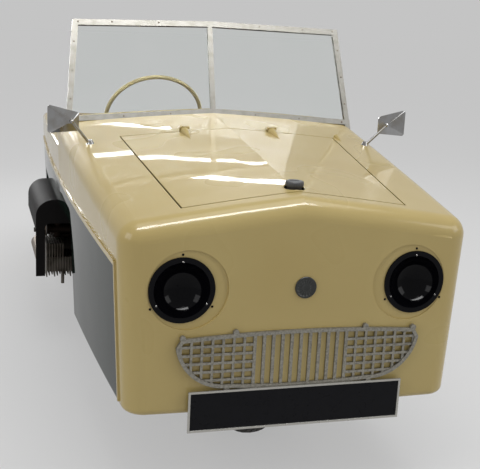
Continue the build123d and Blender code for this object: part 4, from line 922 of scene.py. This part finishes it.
def instruments():
    """A dial on the panel ahead of the driver, and a row of knobs beside it."""
    place, facing = touch("dashboard", (DIAL_X, BEHIND_PANEL, DIAL_Z), (0, -1, 0))

    def put(name, points, faces, slot, finish, flat=False):
        return add_piece(name, aim(points, place, facing), faces, "car_body", finish, flat)

    put("instrument_bezel", turned(BEZEL, 72)[0], skin(len(BEZEL), 72, close_rows=True),
        "bright_chrome", metals["chrome"])
    put("instrument_dial", *turned(DIAL, 72), "black_plastic", blacks["gloss"])
    put("instrument_marks", *dial_marks(13, -215, 35), "ivory_plastic", clear["ivory"], flat=True)
    spots = [touch("dashboard", (x, BEHIND_PANEL, KNOBS_Z), (0, -1, 0))[0] for x in KNOBS_X]
    points, faces = many(*turned(KNOB, 24), spots, [facing] * len(spots))
    add_piece("panel_knobs", points, faces, "car_body", blacks["cap"])


instruments()

# %% [markdown]
# The engine's case is closed by a ring of small hexagon bolts.  Lines sent at the case from
# outside find the metal under each bolt.

# %% Engine bolts
BOLT = [(0, 0), (0.0052, 0), (0.0052, 0.0042), (0.0044, 0.0050), (0, 0.0050)]
CASE_CENTRE, BOLT_CIRCLE = (0.060, 0.330), 0.050
BOLT_ANGLES = np.radians(np.arange(0, 360, 45) + 22.5)


def engine_bolts():
    """Eight bolts on a circle on the case's outer face."""
    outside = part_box("engine_crankcase")[0][0] - AWAY
    y, z = CASE_CENTRE
    starts = [(outside, y + BOLT_CIRCLE * math.cos(a), z + BOLT_CIRCLE * math.sin(a))
              for a in BOLT_ANGLES]
    places = [touch("engine_crankcase", s, (1, 0, 0))[0] for s in starts]
    points, faces = many(*turned(BOLT, 6), places, [(-1, 0, 0)] * len(places))
    return add_piece("engine_bolts", points, faces, "car_body", metals["steel"],
                     flat=True)


engine_bolts()

# %% [markdown]
# The seat is leathercloth stretched over a soft filling, so it swells between its seams.  Drawing
# that by hand looks stiff.  Instead each CAD solid is copied a little smaller, given an even skin
# of small cells, and blown up as cloth; how far it may move is capped.  The sewn channels come
# after, because the even skin would lose them.

# %% Padded seats
INSET, CELL = 0.008, 0.009
PRESSURE, CAP, FILL = 4.0, 0.014, 0.7
CHANNEL_PITCH, CHANNEL_DEPTH, CHANNEL_WIDTH = 0.065, 0.011, 0.30
FADE = 0.02


def points_of(mesh):
    """A mesh's points as rows of x, y and z."""
    place = np.empty(len(mesh.vertices) * 3)
    mesh.vertices.foreach_get("co", place)
    return place.reshape(-1, 3)


def soft_copy(node, inset, cell):
    """A welded copy of a CAD solid, drawn in by inset on every side, with an even skin."""
    piece = bpy.data.objects.new(f"{node}_pad", nodes[node].data.copy())
    bpy.context.scene.collection.objects.link(piece)
    weld(piece.data, 1e-5)
    low, high = (np.array(c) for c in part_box(node))
    place, middle = points_of(piece.data), middle_of(node)
    place = middle + (place - middle) * (1 - 2 * inset / (high - low))
    piece.data.vertices.foreach_set("co", place.ravel())
    piece.data.remesh_voxel_size = cell
    bpy.context.view_layer.objects.active = piece
    bpy.ops.object.voxel_remesh()
    return piece


def inflate(piece, pressure, cap):
    """Blow the skin up as cloth, then let no point move further than the cap."""
    before = points_of(piece.data)
    cloth = piece.modifiers.new("stuffing", "CLOTH")
    cloth.settings.use_pressure = True
    cloth.settings.uniform_pressure_force = pressure
    cloth.settings.effector_weights.gravity = 0
    cloth.settings.tension_stiffness = 20
    cloth.settings.quality = 5
    for step in range(1, 21):
        bpy.context.scene.frame_set(step)
    seen = piece.evaluated_get(bpy.context.evaluated_depsgraph_get())
    after = points_of(seen.data)
    piece.modifiers.remove(cloth)
    bpy.context.scene.frame_set(1)
    move = after - before
    size = np.linalg.norm(move, axis=1, keepdims=True)
    before = before + move * np.minimum(1, cap / np.maximum(size, 1e-9))
    reached = round(float(size.max()) * 1000, 1)
    print(piece.name, "moved up to", reached, "mm, capped at", cap * 1000)
    return before


def finish_pad(piece, place, node):
    low, high = (np.array(c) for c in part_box(node))
    place = np.clip(place, low, high)
    piece.data.vertices.foreach_set("co", place.ravel())
    piece.data.polygons.foreach_set("use_smooth", np.full(len(piece.data.polygons), True))
    smooth = piece.modifiers.new("smooth", "SUBSURF")
    smooth.levels = smooth.render_levels = 1
    bpy.context.view_layer.objects.active = piece
    bpy.ops.object.modifier_apply(modifier=smooth.name)
    dress(piece, soft["leather"])
    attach(piece, "car_body")
    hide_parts(node)
    print(piece.name, len(piece.data.polygons), "faces")


def ease(distance):
    """0 up to a line, then a straight rise to 1 over the width of the fade."""
    return np.clip(distance / FADE, 0, 1)


def channels(place, faces_out):
    """Sewn channels: a smooth valley every pitch across the seat, on the side that faces out."""
    phase = np.abs((place[:, 0] / CHANNEL_PITCH) % 1 - 0.5) * 2
    valley = np.exp(-((1 - phase) / CHANNEL_WIDTH) ** 2)
    return CHANNEL_DEPTH * valley * faces_out


seat = soft_copy("seat_cushion", INSET, CELL)
place = inflate(seat, PRESSURE, CAP)
low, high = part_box("seat_cushion")
on_top = ease(place[:, 2] - (high[2] - 0.035))
inside = ease(np.minimum(place[:, 1] - low[1], high[1] - place[:, 1]) - 0.045)
place[:, 2] -= channels(place, on_top * inside)
finish_pad(seat, place, "seat_cushion")

back = soft_copy("seat_back", INSET, CELL)
place = inflate(back, PRESSURE, CAP)
low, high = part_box("seat_back")
in_front = ease(low[1] + 0.035 - place[:, 1])
inside = ease(high[2] - place[:, 2] - 0.060)
place[:, 1] += channels(place, in_front * inside)
finish_pad(back, place, "seat_back")

# %% [markdown]
# A pale floor and soft lamps make a plain studio.  The gloss of a flat bonnet, seen at a low
# angle, mirrors what stands low behind the car, so five long narrow lamps there draw the bright
# wandering lines that old gloss paint shows.  Two windows that light only what is glossy, one
# above the nose and one behind the tail, draw the thin bright lines on the rolled edges.  The
# camera, mirrors and glass see floor and world paler than their light would make them, so the
# background stays pale and the shadow stays.

# %% Floor, lamps and world
class Sky(Finish):
    """The world's background, written the same way as a finish."""

    def __init__(self):
        world = bpy.data.worlds.new("studio")
        bpy.context.scene.world = world
        world.use_nodes = True
        self.tree = world.node_tree
        self.shader = self.tree.nodes["Background"]


def by_ray(finish, light, direct):
    """One colour for rays that carry light, one for those of the camera, a mirror or glass."""
    by_camera, by_mirror, by_glass = [finish.node("ShaderNodeLightPath", out=f"Is {kind} Ray")
                                      for kind in ("Camera", "Glossy", "Transmission")]
    any_of_them = by_camera.math("ADD", by_camera + by_mirror, by_glass, clamp=True)
    return finish.blend(any_of_them, light, direct)


FLOOR_HALF = 30.0


def studio_floor():
    """A wide square at the tyres' foot."""
    finish = Finish("studio_floor", Roughness=0.8, Emission_Strength=1.0, Specular_IOR_Level=0.0)
    finish.set("Base Color", by_ray(finish, grey(0.52), grey(0.36)))
    finish.set("Emission Color", by_ray(finish, grey(0.0), grey(0.385)))
    mesh = bpy.data.meshes.new("studio_floor")
    signs = ((-1, -1), (1, -1), (1, 1), (-1, 1))
    corners = [(FLOOR_HALF * x, FLOOR_HALF * y, 0) for x, y in signs]
    mesh.from_pydata(corners, [], [(0, 1, 2, 3)])
    floor = bpy.data.objects.new("studio_floor", mesh)
    bpy.context.scene.collection.objects.link(floor)
    dress(floor, finish.material)
    return floor


def soft_lamp(name, place, target, size, watts):
    """A rectangle of light at a place, turned to its target and hidden from the camera."""
    light = bpy.data.lights.new(name, "AREA")
    light.shape = "RECTANGLE"
    light.size, light.size_y = size
    light.energy = watts
    lamp = bpy.data.objects.new(name, light)
    lamp.location = place
    lamp.rotation_euler = (Vector(target) - Vector(place)).to_track_quat("-Z", "Y").to_euler()
    lamp.visible_camera = False
    bpy.context.scene.collection.objects.link(lamp)
    return lamp


def studio_world():
    """An even grey all round."""
    sky = Sky()
    sky.set("Color", by_ray(sky, grey(0.46), grey(0.552)))
    sky.set("Strength", 1.0)


studio_floor()
soft_lamp("lamp_over", (0.4, -1.2, 4.2), (0, -0.4, 0.5), (3.6, 2.4), 62)
soft_lamp("lamp_left", (-4.2, -2.6, 2.6), (0, -0.6, 0.6), (2.4, 2.0), 46)
soft_lamp("lamp_right", (4.0, -3.4, 2.8), (0, -0.8, 0.6), (2.4, 2.0), 46)
STRIPS = [(-1.1, 3.0, 1.9, 0.9), (-0.9, 3.0, 2.15, 1.3), (-0.4, 3.1, 2.5, 1.8),
          (0.4, 3.2, 2.85, 2.0), (1.2, 3.2, 3.1, 1.4)]
STRIP_WIDTH, STRIP_WATTS = 0.035, 4.5
for number, (x, y, z, length) in enumerate(STRIPS):
    soft_lamp(f"strip_{number}", (x, y, z), (x / 2, -1.0, 0.9), (length, STRIP_WIDTH), STRIP_WATTS)
WINDOWS = [("window_front", (0.1, -2.0, 3.3), (2.6, 0.45), 80),
           ("window_back", (-1.25, 3.0, 1.2), (0.10, 1.1), 15)]
for name, place, size, watts in WINDOWS:
    soft_lamp(name, place, (0, -1.3, 0.7), size, watts).visible_diffuse = False
studio_world()
bpy.context.scene.view_settings.view_transform = "Standard"
print("studio ready")

# %% [markdown]
# The camera was worked out from the photograph: known sizes on the nose, such as the plate's
# height, fix how far away the photographer stood, how high, and how far the camera leaned.

# %% Camera
TURN, DIP, LEAN = math.radians(16.537), math.radians(13.968), math.radians(2.875)
STAND = (-0.860, -3.767, 1.374)
FOCAL_PIXELS, PICTURE_PIXELS, SENSOR = 950.0, 480.0, 36.0
ahead = Vector((math.sin(TURN) * math.cos(DIP), math.cos(TURN) * math.cos(DIP), -math.sin(DIP)))
level = Vector((math.cos(TURN), -math.sin(TURN), 0))
upward = level.cross(ahead)
right = math.cos(LEAN) * level + math.sin(LEAN) * upward
above = -math.sin(LEAN) * level + math.cos(LEAN) * upward
turn = Matrix((right, above, -ahead)).transposed()
view = bpy.data.cameras.new("photo_camera")
view.sensor_width = SENSOR
view.lens = FOCAL_PIXELS / PICTURE_PIXELS * SENSOR
camera = bpy.data.objects.new("photo_camera", view)
camera.matrix_world = Matrix.Translation(STAND) @ turn.to_4x4()
bpy.context.scene.collection.objects.link(camera)
bpy.context.scene.camera = camera
print("camera lens", round(view.lens, 2))
